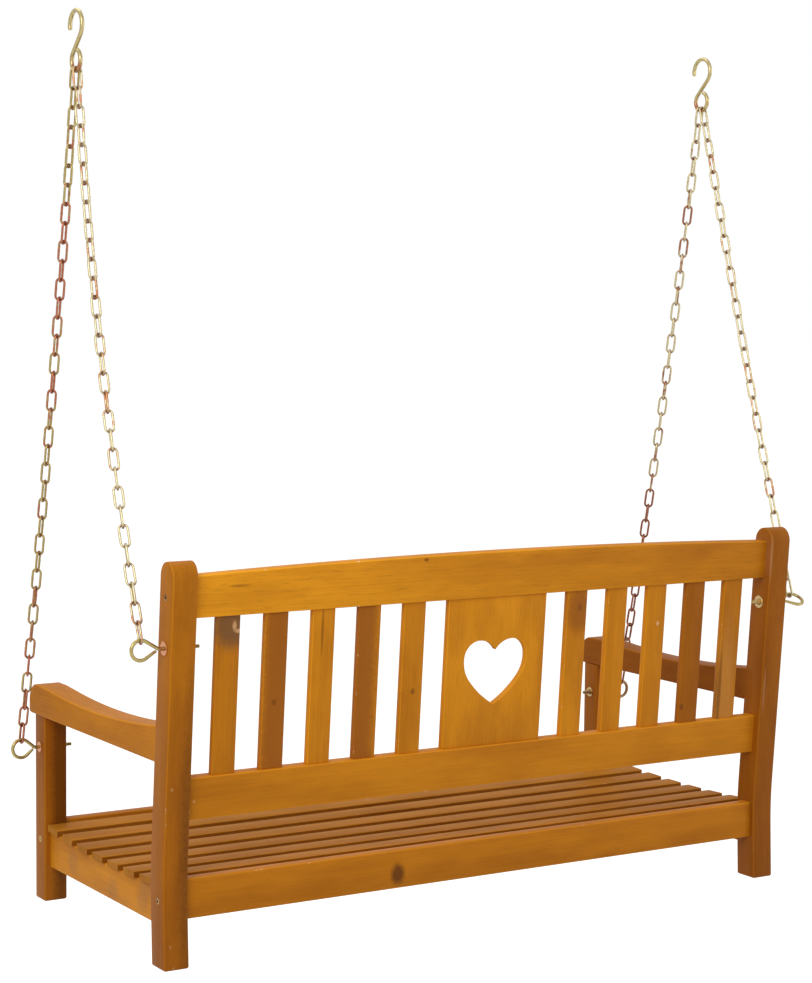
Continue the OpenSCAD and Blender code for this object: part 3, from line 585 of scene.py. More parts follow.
class Finishes:
    """The shader groups, and a way to make each finish."""

    def __init__(self, scene):
        self.scene = scene
        self.grain, self.rub = grain_group(), rub_group()
        self.knot, self.plating = knot_group(), plating_group()
        self.nuts = self.zinc("nut_zinc", linear("#c2a878"), scene.porch_chain.pink,
                              0.5, 120.0, pinkness=-0.25)

    def wood(self, name, light=None, dark=None, figure=0.35, lines=26.0, flecks=0.16,
             lit=0.0, gloss=None, knots=(), marks=()):
        """Stained wood. Knots are (centre, stretch, radius, strength), in metres, and
        marks have a tint as well; lit is painted light on the flanks, or painted shade
        below zero."""
        wood = self.scene.porch_wood
        light, dark = light or wood.honey, dark or wood.umber
        material = bpy.data.materials.new(name)
        n, shader = shaded(material, "BsdfPrincipled", "Material")
        place = n.outputs("ShaderNodeTexCoord")["Object"]
        edge = n.attribute("edge")
        field = n.group(self.grain, Grain=n.attribute("grain", "Vector"),
                        Board=n.attribute("board"), Figure_Lines=lines)
        patched = n.group(self.rub, Place=place, Edge=edge, Amount=wood.rub)
        share = figure / 2
        # Painted highlight: the rounded edges are drawn toward the light tone, as where
        # they catch the light
        blend = (field["Figure"] * share + n.ramp(field["Streaks"], 0.36, 0.66) * share
                 + n.ramp(field["Clouds"], 0.32, 0.68) * wood.mottle - edge * 0.5)
        blend = n.math("MINIMUM", n.math("MAXIMUM", blend, 0.0), 1.0)
        body = n.mix(blend, light, dark)
        body = n.mix(field["Pores"] * flecks, body, wood.pore)

        def mark(centre, stretch, radius):
            return n.group(self.knot, Place=place, Centre=centre, Stretch=stretch,
                           Radius=radius)

        for *where, strength in knots:
            knot = mark(*where)
            body = n.mix(knot["Halo"] * (0.45 * strength), body, dark)
            body = n.mix(knot["Heart"] * strength, body, wood.pore)
        for *where, strength, tint in marks:
            body = n.mix(mark(*where)["Halo"] * strength, body, tint)
        body = n.mix(patched["Dents"] * 0.12, body, wood.pore)
        body = n.mix(patched["Bare"], body, wood.bare)
        # Painted light and shade on the flanks by lit, and a painted highlight that
        # lightens the rounded edges
        tone = n.attribute("tone") * (
            1.0 + (n.attribute("flank") * lit + edge * 0.15))
        shade = n.xyz(*(n.math("POWER", tone, reach) for reach in TONE_REACH))
        n.feed(shader.inputs["Base Color"], n.mix(1.0, body, shade, "MULTIPLY"))
        shader.inputs["Specular IOR Level"].default_value = (
            wood.gloss if gloss is None else gloss)
        n.feed(shader.inputs["Roughness"],
               wood.sheen + field["Streaks"] * 0.16 + patched["Bare"] * 0.2)
        n.feed(shader.inputs["Normal"],
               n.bump(field["Height"], strength=0.2, distance=0.0003))
        return material

    def zinc(self, name, base, pink, tarnish, scale=60.0, roughness=0.3, pinkness=0.0,
             zones=()):
        """Yellow zinc over steel, turned pink and dull in patches. A zone, from one
        height to another, turns pinker by its amount."""
        chain = self.scene.porch_chain
        material = bpy.data.materials.new(name)
        n, shader = shaded(material, "BsdfPrincipled", "Material")
        place = n.outputs("ShaderNodeTexCoord")["Object"]
        height = n.parts(place)[2]
        for bottom, top, more in zones:
            inside = (n.ramp(height, bottom - ZONE_BLUR, bottom + ZONE_BLUR)
                      * n.ramp(height, top + ZONE_BLUR, top - ZONE_BLUR))
            pinkness = pinkness + inside * more
        skin = n.group(self.plating, Place=place, Tone=n.attribute("tone"),
                       Patch_Scale=scale, Tarnish=tarnish, Pinkness=pinkness)
        body = n.mix(skin["Pink"], base, pink)
        body = n.mix(skin["Dull"], body, chain.shade)
        # Painted shade: the links turn red-brown where they meet each other
        body = n.mix(n.attribute("joint") * 0.75, body, chain.joint_shade)
        n.feed(shader.inputs["Base Color"], body)
        shader.inputs["Metallic"].default_value = 1.0
        n.feed(shader.inputs["Roughness"], roughness + skin["Dull"] * 0.3)
        n.feed(shader.inputs["Normal"],
               n.bump(skin["Height"], strength=0.15, distance=0.0002))
        return material


# ------------------------------------------------------------ boards

def store(mesh, name, kind, values, domain="POINT"):
    field = mesh.attributes.new(name, kind, domain)
    key = "vector" if kind == "FLOAT_VECTOR" else "value"
    field.data.foreach_set(key, np.asarray(values, np.float32).ravel())


def board_fields(mesh, along, board, tone, across=None):
    """Grain along an axis, the board's number, its tone from end to end, and its
    rounded edges: the faces that lean to the across axis only in part."""
    count = len(mesh.vertices)
    place = np.empty(count * 3, np.float32)
    mesh.vertices.foreach_get("co", place)
    order = {"X": (1, 2, 0), "Y": (0, 2, 1), "Z": (0, 1, 2)}[along]
    grain = place.reshape(-1, 3)[:, order]
    run = grain[:, 2]
    share = (run - run.min()) / (run.max() - run.min())
    if across is None:
        across = 1 if along == "X" else 0
    lean = np.abs(np.array([face.normal[across] for face in mesh.polygons]))
    flat = np.maximum(lean, np.sqrt(np.clip(1.0 - lean ** 2, 0.0, 1.0)))
    store(mesh, "grain", "FLOAT_VECTOR", grain)
    store(mesh, "board", "FLOAT", np.full(count, float(board)))
    store(mesh, "tone", "FLOAT", tone[0] + (tone[1] - tone[0]) * share)
    store(mesh, "edge", "FLOAT", np.clip((FLAT - flat) / 0.1, 0.0, 1.0), "FACE")


def board_copy(name, node, along, board, material, tone):
    """A node's board with smooth eased edges, and its grain laid along an axis."""
    mesh = merged(node)
    mesh.name = name
    for attribute in [a.name for a in mesh.attributes
                      if a.name not in ("position", "sharp_face", "material_index")]:
        if not attribute.startswith("."):
            mesh.attributes.remove(mesh.attributes[attribute])
    piece = in_scene(name, mesh)
    smoothed(mesh, BOARD_EDGE)
    board_fields(mesh, along, board, tone)
    return finish_piece(piece, [node], material)


def trim(piece, height):
    """Cuts away what lies under a height, and closes the cut."""
    def cut(shape):
        made = bmesh.ops.bisect_plane(
            shape, geom=[*shape.verts, *shape.edges, *shape.faces],
            plane_co=(0.0, 0.0, height), plane_no=(0.0, 0.0, -1.0), clear_outer=True)
        rim = [t for t in made["geom_cut"] if isinstance(t, bmesh.types.BMEdge)]
        bmesh.ops.contextual_create(shape, geom=rim)
        outward(shape)

    reshaped(piece.data, cut)


def toned_sites(name, tones):
    """A carrier with one point for each board, holding the board's tone."""
    carrier = mesh_object(name, [(0.0, 0.0, 0.0)] * len(tones))
    store(carrier.data, "tone", "FLOAT", tones)
    return carrier


def eased_board(n, width, thick, length_, radius):
    """A board along X in a geometry tree, its edges rounded, about the origin."""
    outline = n.geo("CurvePrimitiveQuadrilateral", width, thick, mode="RECTANGLE")
    eased = n.geo("FilletCurve", outline, 3, radius, True, mode="POLY")
    half = length_ / 2.0
    line = n.geo("CurvePrimitiveLine", n.xyz(half * -1.0), n.xyz(half), mode="POINTS")
    return n.geo("CurveToMesh", line, eased, 1.0, True)


def grained(n, geometry, x, y, z, narrow=1):
    """Stores where each point lies in its board, and which faces are edges and flanks."""
    smooth = n.smooth(n.store(geometry, "grain", n.xyz(x, y, z), kind="FLOAT_VECTOR"))
    normal = n.parts(n.vector("ABSOLUTE", n.geo("InputNormal")))
    flat = n.math("MAXIMUM", normal[0], n.math("MAXIMUM", normal[1], normal[2]))
    edge = n.ramp(flat, FLAT, FLAT - 0.1, smooth=False)
    geometry = n.store(smooth, "edge", edge, "FACE")
    return n.store(geometry, "flank", normal[narrow] > 0.9, "FACE")


def end_boards(n, boards, first_board, given):
    """Numbers the boards, gives each its carrier's tone, and makes them one mesh."""
    index = n.index()
    numbered = n.store(boards, "board", index + first_board, "INSTANCE")
    tone = n.geo("InputNamedAttribute", "tone", data_type="FLOAT")
    tone = n.geo("SampleIndex", given["Geometry"], tone, index,
                 data_type="FLOAT", domain="POINT")
    return end_pieces(n, n.store(numbered, "tone", tone, "INSTANCE"), given["Material"])


def seat_slat_tree():
    """Slats laid side by side in a dish."""
    n, given = new_tree(
        "seat_dish", "Geometry",
        {"Depth": 0.0, "Low Depth": 0.0, "Low Height": 0.113, "Radius": 2.8}, "Height")
    radius, away = given["Radius"], given["Depth"] - given["Low Depth"]
    rise = radius - n.math("SQRT", radius * radius - away * away)
    dish = end_tree(n, given["Low Height"] + rise)

    n, given = new_tree(
        "seat_slat_row", "Geometry",
        {"Geometry": "Geometry", "Count": 7, "Width": 0.05, "Thickness": 0.011,
         "Length": 1.0, "Gap": 0.0076, "Edge Radius": 0.002, "Start Depth": 0.0,
         "Low Depth": 0.0, "Low Height": 0.1, "Dish Radius": 2.8,
         "Material": "Material"}, "Geometry")

    def height(depth):
        return n.group(dish, Depth=depth, Low_Depth=given["Low Depth"],
                       Low_Height=given["Low Height"],
                       Radius=given["Dish Radius"])["Height"]

    board = eased_board(
        n, given["Width"], given["Thickness"], given["Length"], given["Edge Radius"])
    x, y, z = n.parts(n.geo("InputPosition"))
    board = grained(n, board, y, z, x)
    pitch = given["Width"] + given["Gap"]
    front = given["Start Depth"] + n.index() * pitch
    rear = front + pitch
    low, high = height(front), height(rear)
    tilt = n.math("ARCTAN2", high - low, pitch)
    half = given["Thickness"] / 2.0
    place = n.xyz(0.0, (front + rear) / 2.0 - half * n.math("SINE", tilt),
                  (low + high) / 2.0 + half * n.math("COSINE", tilt))
    sites = n.geo("Points", given["Count"], place, 0.01)
    turn = n.add("FunctionNodeEulerToRotation", n.xyz(tilt))
    boards = n.geo("InstanceOnPoints", sites, None, board, None, None, turn)
    return end_boards(n, boards, SEAT_BOARDS, given)


def back_slat_tree():
    """Upright slats in two even groups, one on each side of a panel."""
    n, given = new_tree(
        "back_slat_row", "Geometry",
        {"Geometry": "Geometry", "Per Side": 5, "Width": 0.04, "Thickness": 0.012,
         "Length": 0.25, "Clear Width": 1.1, "Panel Width": 0.19, "Edge Radius": 0.002,
         "Material": "Material"}, "Geometry")
    width, panel, side = given["Width"], given["Panel Width"], given["Per Side"]
    board = eased_board(n, given["Thickness"], width, given["Length"], given["Edge Radius"])
    x, y, z = n.parts(n.geo("InputPosition"))
    board = grained(n, board, z, y, x, narrow=2)
    board = n.geo("Transform", board, (0.0, 0.0, 0.0), (0.0, -math.pi / 2, 0.0),
                  (1.0, 1.0, 1.0), mode="COMPONENTS")
    index, slats = n.index(), side * 2.0
    beyond = index > side - 0.5
    gap = (given["Clear Width"] - panel - slats * width) / (slats + 2.0)
    first = panel / 2.0 + (gap + width / 2.0)
    across = first + (index - beyond * side) * (gap + width)
    sites = n.geo("Points", slats, n.xyz(across * (beyond * 2.0 - 1.0)), 0.01)
    boards = n.geo("InstanceOnPoints", sites, None, board)
    return end_boards(n, boards, BACK_BOARDS, given)


# ------------------------------------------------------------ links and rods

def link_chain_tree():
    """Welded links along a path, each turned square to the last."""
    n, given = new_tree(
        "link_chain", "Geometry",
        {"Geometry": "Geometry", "Wire": 0.004, "Link Width": 0.0175, "Pitch": 0.03,
         "Play": 0.0005, "Weld": 0.14, "Side": (1.0, 0.0, 0.0), "Count": 37, "First": 0,
         "Last": 36, "Closing Turn": 0.0, "Wander": 0.35, "Loose Turn": 0.06,
         "Hand": 1.0, "Seed": 1, "Material": "Material"}, "Geometry")
    wire = given["Wire"]
    end = (given["Link Width"] - wire) / 2.0
    half = (given["Pitch"] + given["Play"] + wire) / 2.0 - end

    circle = n.geo("CurvePrimitiveCircle", 24, 1.0, mode="RADIUS")
    x, y, _ = n.parts(n.geo("InputPosition"))
    # The crowns of the link's bends, where the painted shade of the joints falls
    circle = n.store(circle, "joint", n.ramp(n.math("ABSOLUTE", y), 0.8, 1.0))
    angle = n.math("ARCTAN2", y, x)
    swing = n.ramp(n.math("ABSOLUTE", angle), math.radians(30), math.radians(150),
                   0.0, math.pi, smooth=False)
    bend_z = n.math("SIGN", angle) * (half + end * n.math("SINE", swing))
    flank = n.math("ABSOLUTE", y) < 0.3
    weld_z = y * 0.009
    ring_z = flank * weld_z + (1.0 - flank) * bend_z
    ring = n.geo("SetPosition", circle, None,
                 n.xyz(end * n.math("COSINE", swing), 0.0, ring_z))
    swell = 1.0 + given["Weld"] * (n.index() < 0.5)
    profile = n.geo("CurvePrimitiveCircle", 8, wire / 2.0, mode="RADIUS")
    link = n.smooth(n.geo("CurveToMesh", ring, profile, swell, False))

    sites = n.outputs("GeometryNodeCurveToPoints", given["Geometry"], mode="EVALUATED")
    index = n.index()
    share = index / (given["Count"] - 1.0)
    turn = (n.math("MODULO", index, 2.0) * (math.pi / 2) + given["Closing Turn"] * share
            + given["Wander"] * n.math("SINE", share * (2 * math.pi)))
    turn = turn * given["Hand"] + n.random(-1.0, 1.0, given["Seed"]) * given["Loose Turn"]
    hang = n.add("FunctionNodeAxesToRotation", n.scaled(sites["Tangent"], -1.0),
                 given["Side"], primary_axis="Z", secondary_axis="X")
    about = n.add("FunctionNodeAxisAngleToRotation", (0.0, 0.0, 1.0), turn)
    set_turn = n.add("FunctionNodeRotateRotation", hang, about, rotation_space="LOCAL")
    kept = (index > given["First"] - 0.5) * (index < given["Last"] + 0.5)
    links = n.geo("InstanceOnPoints", sites["Points"], kept, link, None, None, set_turn)
    tone = n.random(0.0, 1.0, given["Seed"])
    return end_pieces(n, n.store(links, "tone", tone, "INSTANCE"), given["Material"])


def bent_rod_tree():
    """A round rod along a path, with chamfered ends and a thread from its start."""
    n, given = new_tree(
        "bent_rod", "Geometry",
        {"Geometry": "Geometry", "Diameter": 0.006, "Sides": 16, "Chamfer": 0.0006,
         "Thread Pitch": 0.001, "Thread Depth": 0.0, "Threaded Length": 0.0,
         "Tone": 0.4, "Material": "Material"}, "Geometry")
    path, sides = given["Geometry"], given["Sides"]
    along = n.outputs("GeometryNodeSplineParameter")["Length"]
    near = n.math("MINIMUM", along, n.geo("CurveLength", path) - along)
    scale = n.ramp(near, 0.0, given["Chamfer"], 0.78, 1.0, smooth=False)
    profile = n.geo("CurvePrimitiveCircle", sides, given["Diameter"] / 2.0, mode="RADIUS")
    profile = n.store(profile, "around", n.index() / sides * (2 * math.pi))
    rod = n.geo("CurveToMesh", n.store(path, "along", along), profile, scale, True)
    place, turn = (n.geo("InputNamedAttribute", name, data_type="FLOAT")
                   for name in ("along", "around"))
    helix = place / given["Thread Pitch"] * (2 * math.pi) - turn
    groove = (0.5 - n.math("COSINE", helix) * 0.5) * (place < given["Threaded Length"])
    inward = n.scaled(n.geo("InputNormal"), groove * (given["Thread Depth"] * -1.0))
    rod = n.geo("SetPosition", rod, None, None, inward)
    for name in ("along", "around"):
        rod = n.geo("RemoveAttribute", rod, name)
    smooth = n.smooth(n.store(rod, "tone", given["Tone"]))
    return end_pieces(n, smooth, given["Material"])


def fastener_tree():
    """One fastener set at each site, with its axis along the site's facing."""
    n, given = new_tree(
        "fasteners_at_sites", "Geometry",
        {"Geometry": "Geometry", "Fastener": "Object", "Seed": 1,
         "Material": "Material"}, "Geometry")
    shape = n.outputs("GeometryNodeObjectInfo", given["Fastener"])["Geometry"]
    facing = n.geo("InputNamedAttribute", "facing", data_type="FLOAT_VECTOR")
    spin = n.random(0.0, math.pi, given["Seed"])
    aim = n.add("FunctionNodeAxesToRotation", facing, n.xyz(
        0.0, n.math("COSINE", spin), n.math("SINE", spin)),
        primary_axis="Z", secondary_axis="X")
    placed = n.geo("InstanceOnPoints", given["Geometry"], None, shape, None, None, aim)
    tone = n.random(0.0, 1.0, given["Seed"])
    return end_pieces(n, n.store(placed, "tone", tone, "INSTANCE"), given["Material"])


# The geometry trees, each built when it is first asked for
TREES = {}
TREE_MAKERS = {
    "seat_slats": seat_slat_tree, "back_slats": back_slat_tree,
    "chain": link_chain_tree, "rod": bent_rod_tree, "fasteners": fastener_tree}


# ------------------------------------------------------------ turned shapes

TURNS = 36


def ring(radius, height, sides=0):
    """Points of a circle, or of a polygon drawn round it, at one height."""
    points = []
    for i in range(TURNS):
        angle = 2 * math.pi * i / TURNS
        reach = radius
        if sides:
            wedge = 2 * math.pi / sides
            reach = radius / math.cos((angle + wedge / 2) % wedge - wedge / 2)
        points.append((reach * math.cos(angle), reach * math.sin(angle), height))
    return points


def turned(name, rings, closed):
    """A body through rings from its inside round; closed makes it a ring itself."""
    vertices = [point for each in rings for point in each]
    faces = []
    spans = len(rings) if closed else len(rings) - 1
    for i in range(spans):
        a, b = i * TURNS, (i + 1) % len(rings) * TURNS
        for j in range(TURNS):
            k = (j + 1) % TURNS
            faces.append((a + j, a + k, b + k, b + j))
    if not closed:
        faces.append(tuple(range(TURNS - 1, -1, -1)))
        faces.append(tuple(range(spans * TURNS, (spans + 1) * TURNS)))
    thing = mesh_object(name, vertices, faces)
    reshaped(thing.data, outward)
    smoothed(thing.data, 32)
    return thing


def set_fasteners(name, shape, boxes, seed, material, at=middle):
    """Sets a turned shape at boxes on both sides, each facing away from the middle."""
    points = mesh_object(name + "_sites", [tuple(at(box)) for box in boxes])
    store(points.data, "facing", "FLOAT_VECTOR",
          [(math.copysign(1, box[0].x), 0.0, 0.0) for box in boxes])
    piece = modelled(name, points, "fasteners", {
        "Fastener": shape, "Seed": seed, "Material": material})
    discard(shape)
    return piece


# ------------------------------------------------------------ operators

HANDS = (("left", 1.0), ("right", -1.0))
FINISHES = []


# The numbers of the first boards of each kind, which set their grain apart
POST_BOARDS, ARMREST_BOARDS, RAIL_BOARDS, PANEL_BOARD = 1, 6, 9, 18
DOWEL_BOARD = 30


def through(x, z, wide, tall, *look):
    """A knot or mark that goes right through a board from back to front."""
    return ((x, 0.0, z), (wide, 0.0, tall), *look)


def workshop(context):
    """The scene and its finishes, which are made when first asked for."""
    if not FINISHES:
        FINISHES.append(Finishes(context.scene))
    return context.scene, FINISHES[0]


class PORCH_OT_posts(bpy.types.Operator):
    """Dress the rear and front posts"""
    bl_idname = "porch.posts"
    bl_label = "Posts"

    def execute(self, context):
        scene, finishes = workshop(context)
        bare = scene.porch_wood.bare
        marks = [(place, (1.0, 0.02, 0.7), 0.0011, 0.7, bare) for place in (
            (0.5895, 0.25, 0.037), (0.558, 0.25, 0.032), (0.585, 0.25, 0.003),
            (0.5904, 0.25, 0.2812))]
        marks += [(place, (1.0, 0.02, 0.06), 0.0013, 0.5, bare) for place in (
            (-0.56, 0.25, 0.576), (-0.564, 0.25, 0.338))]
        marks.append((
            (0.562, -0.25, 0.19), (1.0, 0.03, 0.06), 0.01, 0.65, linear("#5a3208")))
        stained = finishes.wood("post_wood", marks=marks)
        posts = (("left_rear_post", (0.6, 0.92)), ("left_front_post", (0.68, 0.68)),
                 ("right_rear_post", (0.5, 0.64)), ("right_front_post", (0.66, 0.66)))
        for board, (node, tone) in enumerate(posts):
            board_copy(node + "_wood", node, "Z", POST_BOARDS + board, stained,
                       tone)
        return {"FINISHED"}


class PORCH_OT_armrests(bpy.types.Operator):
    """Dress the two armrests"""
    bl_idname = "porch.armrests"
    bl_label = "Armrests"

    def execute(self, context):
        _, finishes = workshop(context)
        stained = finishes.wood("arm_wood", gloss=0.08)
        for board, (side, tone) in enumerate((("left", 1.08), ("right", 0.59))):
            board_copy(side + "_armrest_wood", side + "_armrest", "Y",
                       ARMREST_BOARDS + board, stained, (tone, tone))
        return {"FINISHED"}


class PORCH_OT_rails(bpy.types.Operator):
    """Dress the back rails and the rails under the seat"""
    bl_idname = "porch.rails"
    bl_label = "Rails"

    def execute(self, context):
        scene, finishes = workshop(context)
        wood = scene.porch_wood
        marks = [through(*mark) for mark in (
            (0.464, 0.578, 1.0, 1.6, 0.024, 0.2, wood.umber),
            (0.481, 0.586, 0.12, 1.0, 0.0012, 0.4, wood.pore),
            (0.147, 0.6085, 0.6, 1.0, 0.0015, 0.7, wood.pore),
            (0.177, 0.097, 1.0, 0.75, 0.0068, 0.8, wood.pore),
            (0.545, 0.2553, 1.0, 1.0, 0.0011, 0.7, wood.bare))]
        marks += [((0.584, *place), (0.0, 1.0, 1.0), 0.011, 0.3, linear("#8a5c34"))
                  for place in ((0.136, 0.0845), (-0.13, 0.0875), (0.026, 0.0758),
                                (0.147, 0.1105))]
        stained = finishes.wood("rail_wood", marks=marks)
        flecked = finishes.wood("top_rail_wood", flecks=0.3, marks=marks)
        rails = (
            ("top_back_rail", "X", (1.02, 1.75)), ("bottom_back_rail", "X", (1.13, 1.13)),
            ("front_seat_rail", "X", (0.8, 0.8)), ("rear_seat_rail", "X", (0.98, 0.95)),
            ("left_side_rail", "Y", (1.3, 1.3)), ("right_side_rail", "Y", (0.85, 0.85)),
            ("middle_seat_rail", "Y", (0.85, 0.85)))
        for board, (node, along, tone) in enumerate(rails):
            piece = board_copy(node + "_wood", node, along, RAIL_BOARDS + board,
                               stained if board else flecked, tone)
            if node.startswith("middle"):
                trim(piece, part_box("rear_seat_rail")[0].z)
        return {"FINISHED"}


# The tones of the seat slats from front to back
SEAT_TONES = (1.0, 1.03, 0.98, 1.02, 0.97, 1.01, 0.99)


class PORCH_OT_seat_slats(bpy.types.Operator):
    """Lay the seat slats in their dish"""
    bl_idname = "porch.seat_slats"
    bl_label = "Seat slats"

    def execute(self, context):
        scene, finishes = workshop(context)
        wood, slats = scene.porch_wood, scene.porch_slats
        # lit below zero paints shade on the slats' flanks, in the gaps between them
        stained = finishes.wood("slat_seat_wood", wood.straw, wood.cocoa, lines=20.0,
                                lit=-wood.gaps, gloss=0.05)
        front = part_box("left_front_post")[1].y
        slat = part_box("seat_slat_4")
        carrier = toned_sites("seat_tones", SEAT_TONES)
        piece = modelled("seat_slats", carrier, "seat_slats", {
            "Count": slats.seat_count, "Width": slats.seat_width,
            "Thickness": slats.seat_thick, "Length": slat[1].x - slat[0].x,
            "Gap": slats.seat_gap, "Edge Radius": slats.edge,
            "Start Depth": front + slats.seat_first - slats.seat_gap / 2,
            "Low Depth": front + slats.dish_from_post, "Low Height": slats.dish_height,
            "Dish Radius": slats.dish_radius, "Material": stained})
        nodes = [f"seat_slat_{i + 1}" for i in range(slats.seat_count)]
        finish_piece(piece, nodes)
        return {"FINISHED"}


# The tones of the back slats outward from the panel, right half first
BACK_TONES = (1.24, 1.17, 1.17, 0.62, 0.98, 1.16, 1.2, 1.33, 1.25, 1.0)


class PORCH_OT_back_slats(bpy.types.Operator):
    """Stand the back slats between the back rails"""
    bl_idname = "porch.back_slats"
    bl_label = "Back slats"

    def execute(self, context):
        scene, finishes = workshop(context)
        wood, slats = scene.porch_wood, scene.porch_slats
        pore, bare = wood.pore, wood.bare
        grey, brown = linear("#6a4c34"), linear("#8a4a12")
        marks = [through(*mark) for mark in (
            (0.489, 0.526, 1.0, 0.8, 0.0165, 0.8, grey),
            (0.4845, 0.524, 1.0, 0.5, 0.0019, 0.85, bare),
            (0.477, 0.5155, 0.5, 1.0, 0.0019, 0.85, bare),
            (0.4035, 0.4, 1.0, 0.0, 0.0155, 0.8, brown),
            (0.4106, 0.398, 1.0, 0.8, 0.0022, 0.5, pore),
            (0.3296, 0.508, 1.0, 0.06, 0.0013, 0.5, pore),
            (0.258, 0.4, 1.0, 0.0, 0.0165, 0.8, brown),
            (0.1577, 0.394, 1.0, 0.8, 0.0022, 0.6, pore),
            (-0.1645, 0.508, 1.0, 0.6, 0.0135, 0.75, brown),
            (-0.3318, 0.473, 1.0, 0.8, 0.0016, 0.9, bare),
            (-0.396, 0.321, 1.0, 0.8, 0.0024, 0.5, pore),
            (-0.49, 0.3, 1.0, 0.12, 0.011, 0.35, wood.pale),
            (-0.4775, 0.335, 1.0, 0.05, 0.0022, 0.5, pore))]
        knots = [through(-0.1645, 0.512, 1.0, 0.65, 0.0055, 0.8)]
        # lit paints light on the slats' flanks that face the key lamp
        stained = finishes.wood("slat_wood", lines=18.0, lit=0.12, knots=knots,
                                marks=marks)
        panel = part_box("heart_panel")
        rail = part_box("top_back_rail")
        lean = slats.lean
        tall = (panel[1].z - panel[0].z) / math.cos(lean) - 2 * slats.tenon
        carrier = toned_sites("back_tones", BACK_TONES)
        piece = modelled("back_slats", carrier, "back_slats", {
            "Per Side": slats.back_per_side, "Width": slats.back_width,
            "Thickness": slats.back_thick, "Length": tall,
            "Clear Width": rail[1].x - rail[0].x, "Panel Width": slats.panel_width,
            "Edge Radius": slats.edge, "Material": stained})
        piece.data.transform(
            Matrix.Translation(middle(panel)) @ Matrix.Rotation(-lean, 4, "X"))
        nodes = [f"back_slat_{i + 1}" for i in range(2 * slats.back_per_side)]
        finish_piece(piece, nodes)
        return {"FINISHED"}


def heart_outline(slats, steps=14):
    """The heart's closed outline, clockwise from its notch, as (x, z) points."""
    top = (slats.heart_top_x, slats.heart_top_z)
    first = math.asin(slats.heart_top_x / slats.heart_inner)
    right = [(top[0] - slats.heart_inner * math.sin(first * (1 - i / steps)),
              top[1] - slats.heart_inner * (1 - math.cos(first * (1 - i / steps))))
             for i in range(steps)]
    right.append(top)
    heading = 0.0
    for radius, sweep in ((slats.heart_lobe, slats.heart_lobe_sweep),
                          (slats.heart_shoulder, slats.heart_shoulder_sweep),
                          (slats.heart_flank, None)):
        x, z = right[-1]
        if sweep is None:
            sweep = math.pi - math.asin(math.sin(heading) - x / radius) - heading
        for i in range(1, steps + 1):
            angle = heading + sweep * i / steps
            right.append((x + radius * (math.sin(angle) - math.sin(heading)),
                          z - radius * (math.cos(heading) - math.cos(angle))))
        heading += sweep
    right[0], right[-1] = (0.0, right[0][1]), (0.0, right[-1][1])
    left = [(-x, z) for x, z in reversed(right[1:-1])]
    return right + left


def offset(outline, distance):
    """A clockwise outline moved outward by a distance."""
    moved = []
    count = len(outline)
    for i, (x, z) in enumerate(outline):
        before, after = outline[i - 1], outline[(i + 1) % count]
        a = Vector((x - before[0], z - before[1])).normalized()
        b = Vector((after[0] - x, after[1] - z)).normalized()
        out = Vector((-(a.y + b.y), a.x + b.x))
        out = out / max(out.dot(Vector((-a.y, a.x))), 0.5)
        moved.append((x + out.x * distance, z + out.y * distance))
    return moved


def pierced_board(name, outer, hole, thick, soft):
    """A board with a hole through it, its edges eased on both faces."""
    levels = [(soft * (1 - math.sin(a)), thick / 2 - soft * (1 - math.cos(a)))
              for a in (math.radians(d) for d in (0, 30, 60, 90))]
    levels += [(inset, -y) for inset, y in reversed(levels)]
    rows = []
    vertices, faces = [], []
    for outline, sign in ((outer, -1.0), (hole, 1.0)):
        loops = []
        for inset, y in levels:
            loop = offset(outline, sign * inset)
            loops.append(range(len(vertices), len(vertices) + len(loop)))
            vertices += [(x, y, z) for x, z in loop]
        for low, high in zip(loops, loops[1:]):
            for i in range(len(outline)):
                j = (i + 1) % len(outline)
                faces.append((low[i], low[j], high[j], high[i]))
        rows.append(loops)
    for level in (0, -1):
        loops = [[Vector(vertices[i]) for i in loops[level]] for loops in rows]
        index = [i for loops in rows for i in loops[level]]
        faces += [tuple(index[i] for i in face)
                  for face in tessellate_polygon(loops)]
    thing = mesh_object(name, vertices, faces)
    reshaped(thing.data, outward)
    return thing


class PORCH_OT_heart_panel(bpy.types.Operator):
    """Cut the panel with the heart"""
    bl_idname = "porch.heart_panel"
    bl_label = "Heart panel"

    def execute(self, context):
        scene, finishes = workshop(context)
        slats = scene.porch_slats
        stained = finishes.wood("panel_wood", lines=30.0)
        low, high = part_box("heart_panel")
        lean, thick = slats.lean, slats.back_thick
        wide = (high.x - low.x) / 2
        tall = (high.z - low.z - thick * math.sin(lean)) / math.cos(lean) / 2
        centre = middle((low, high))
        raised = thick / 2 * math.sin(lean) - centre.z
        heart = offset(heart_outline(slats), -slats.edge / 2)
        hole = [(x, (z + raised) / math.cos(lean)) for x, z in heart]
        piece = pierced_board(
            "heart_panel_wood",
            [(-wide, -tall), (-wide, tall), (wide, tall), (wide, -tall)],
            hole, thick, slats.edge)
        piece.data.transform(
            Matrix.Translation(centre) @ Matrix.Rotation(-lean, 4, "X"))
        smoothed(piece.data, BOARD_EDGE)
        board_fields(piece.data, "Z", PANEL_BOARD, (1.2, 1.46), across=1)
        finish_piece(piece, ["heart_panel"], stained)
        return {"FINISHED"}


class PORCH_OT_dowels(bpy.types.Operator):
    """Give the hidden dowels and cross nuts their finish"""
    bl_idname = "porch.dowels"
    bl_label = "Dowels and cross nuts"

    def execute(self, context):
        scene, finishes = workshop(context)
        wood = scene.porch_wood
        beech = finishes.wood("dowel_wood", wood.bare, wood.straw, figure=0.3)
        board_copy("dowel_pins", "dowels", "Y", DOWEL_BOARD, beech,
                   (1.0, 1.0))
        for place in frame["nodes"]["cross_nuts"].material_slots:
            place.material = finishes.nuts
        return {"FINISHED"}


CROOK_STEPS, LOOP_STEPS, EYE_STEPS = 40, 50, 44
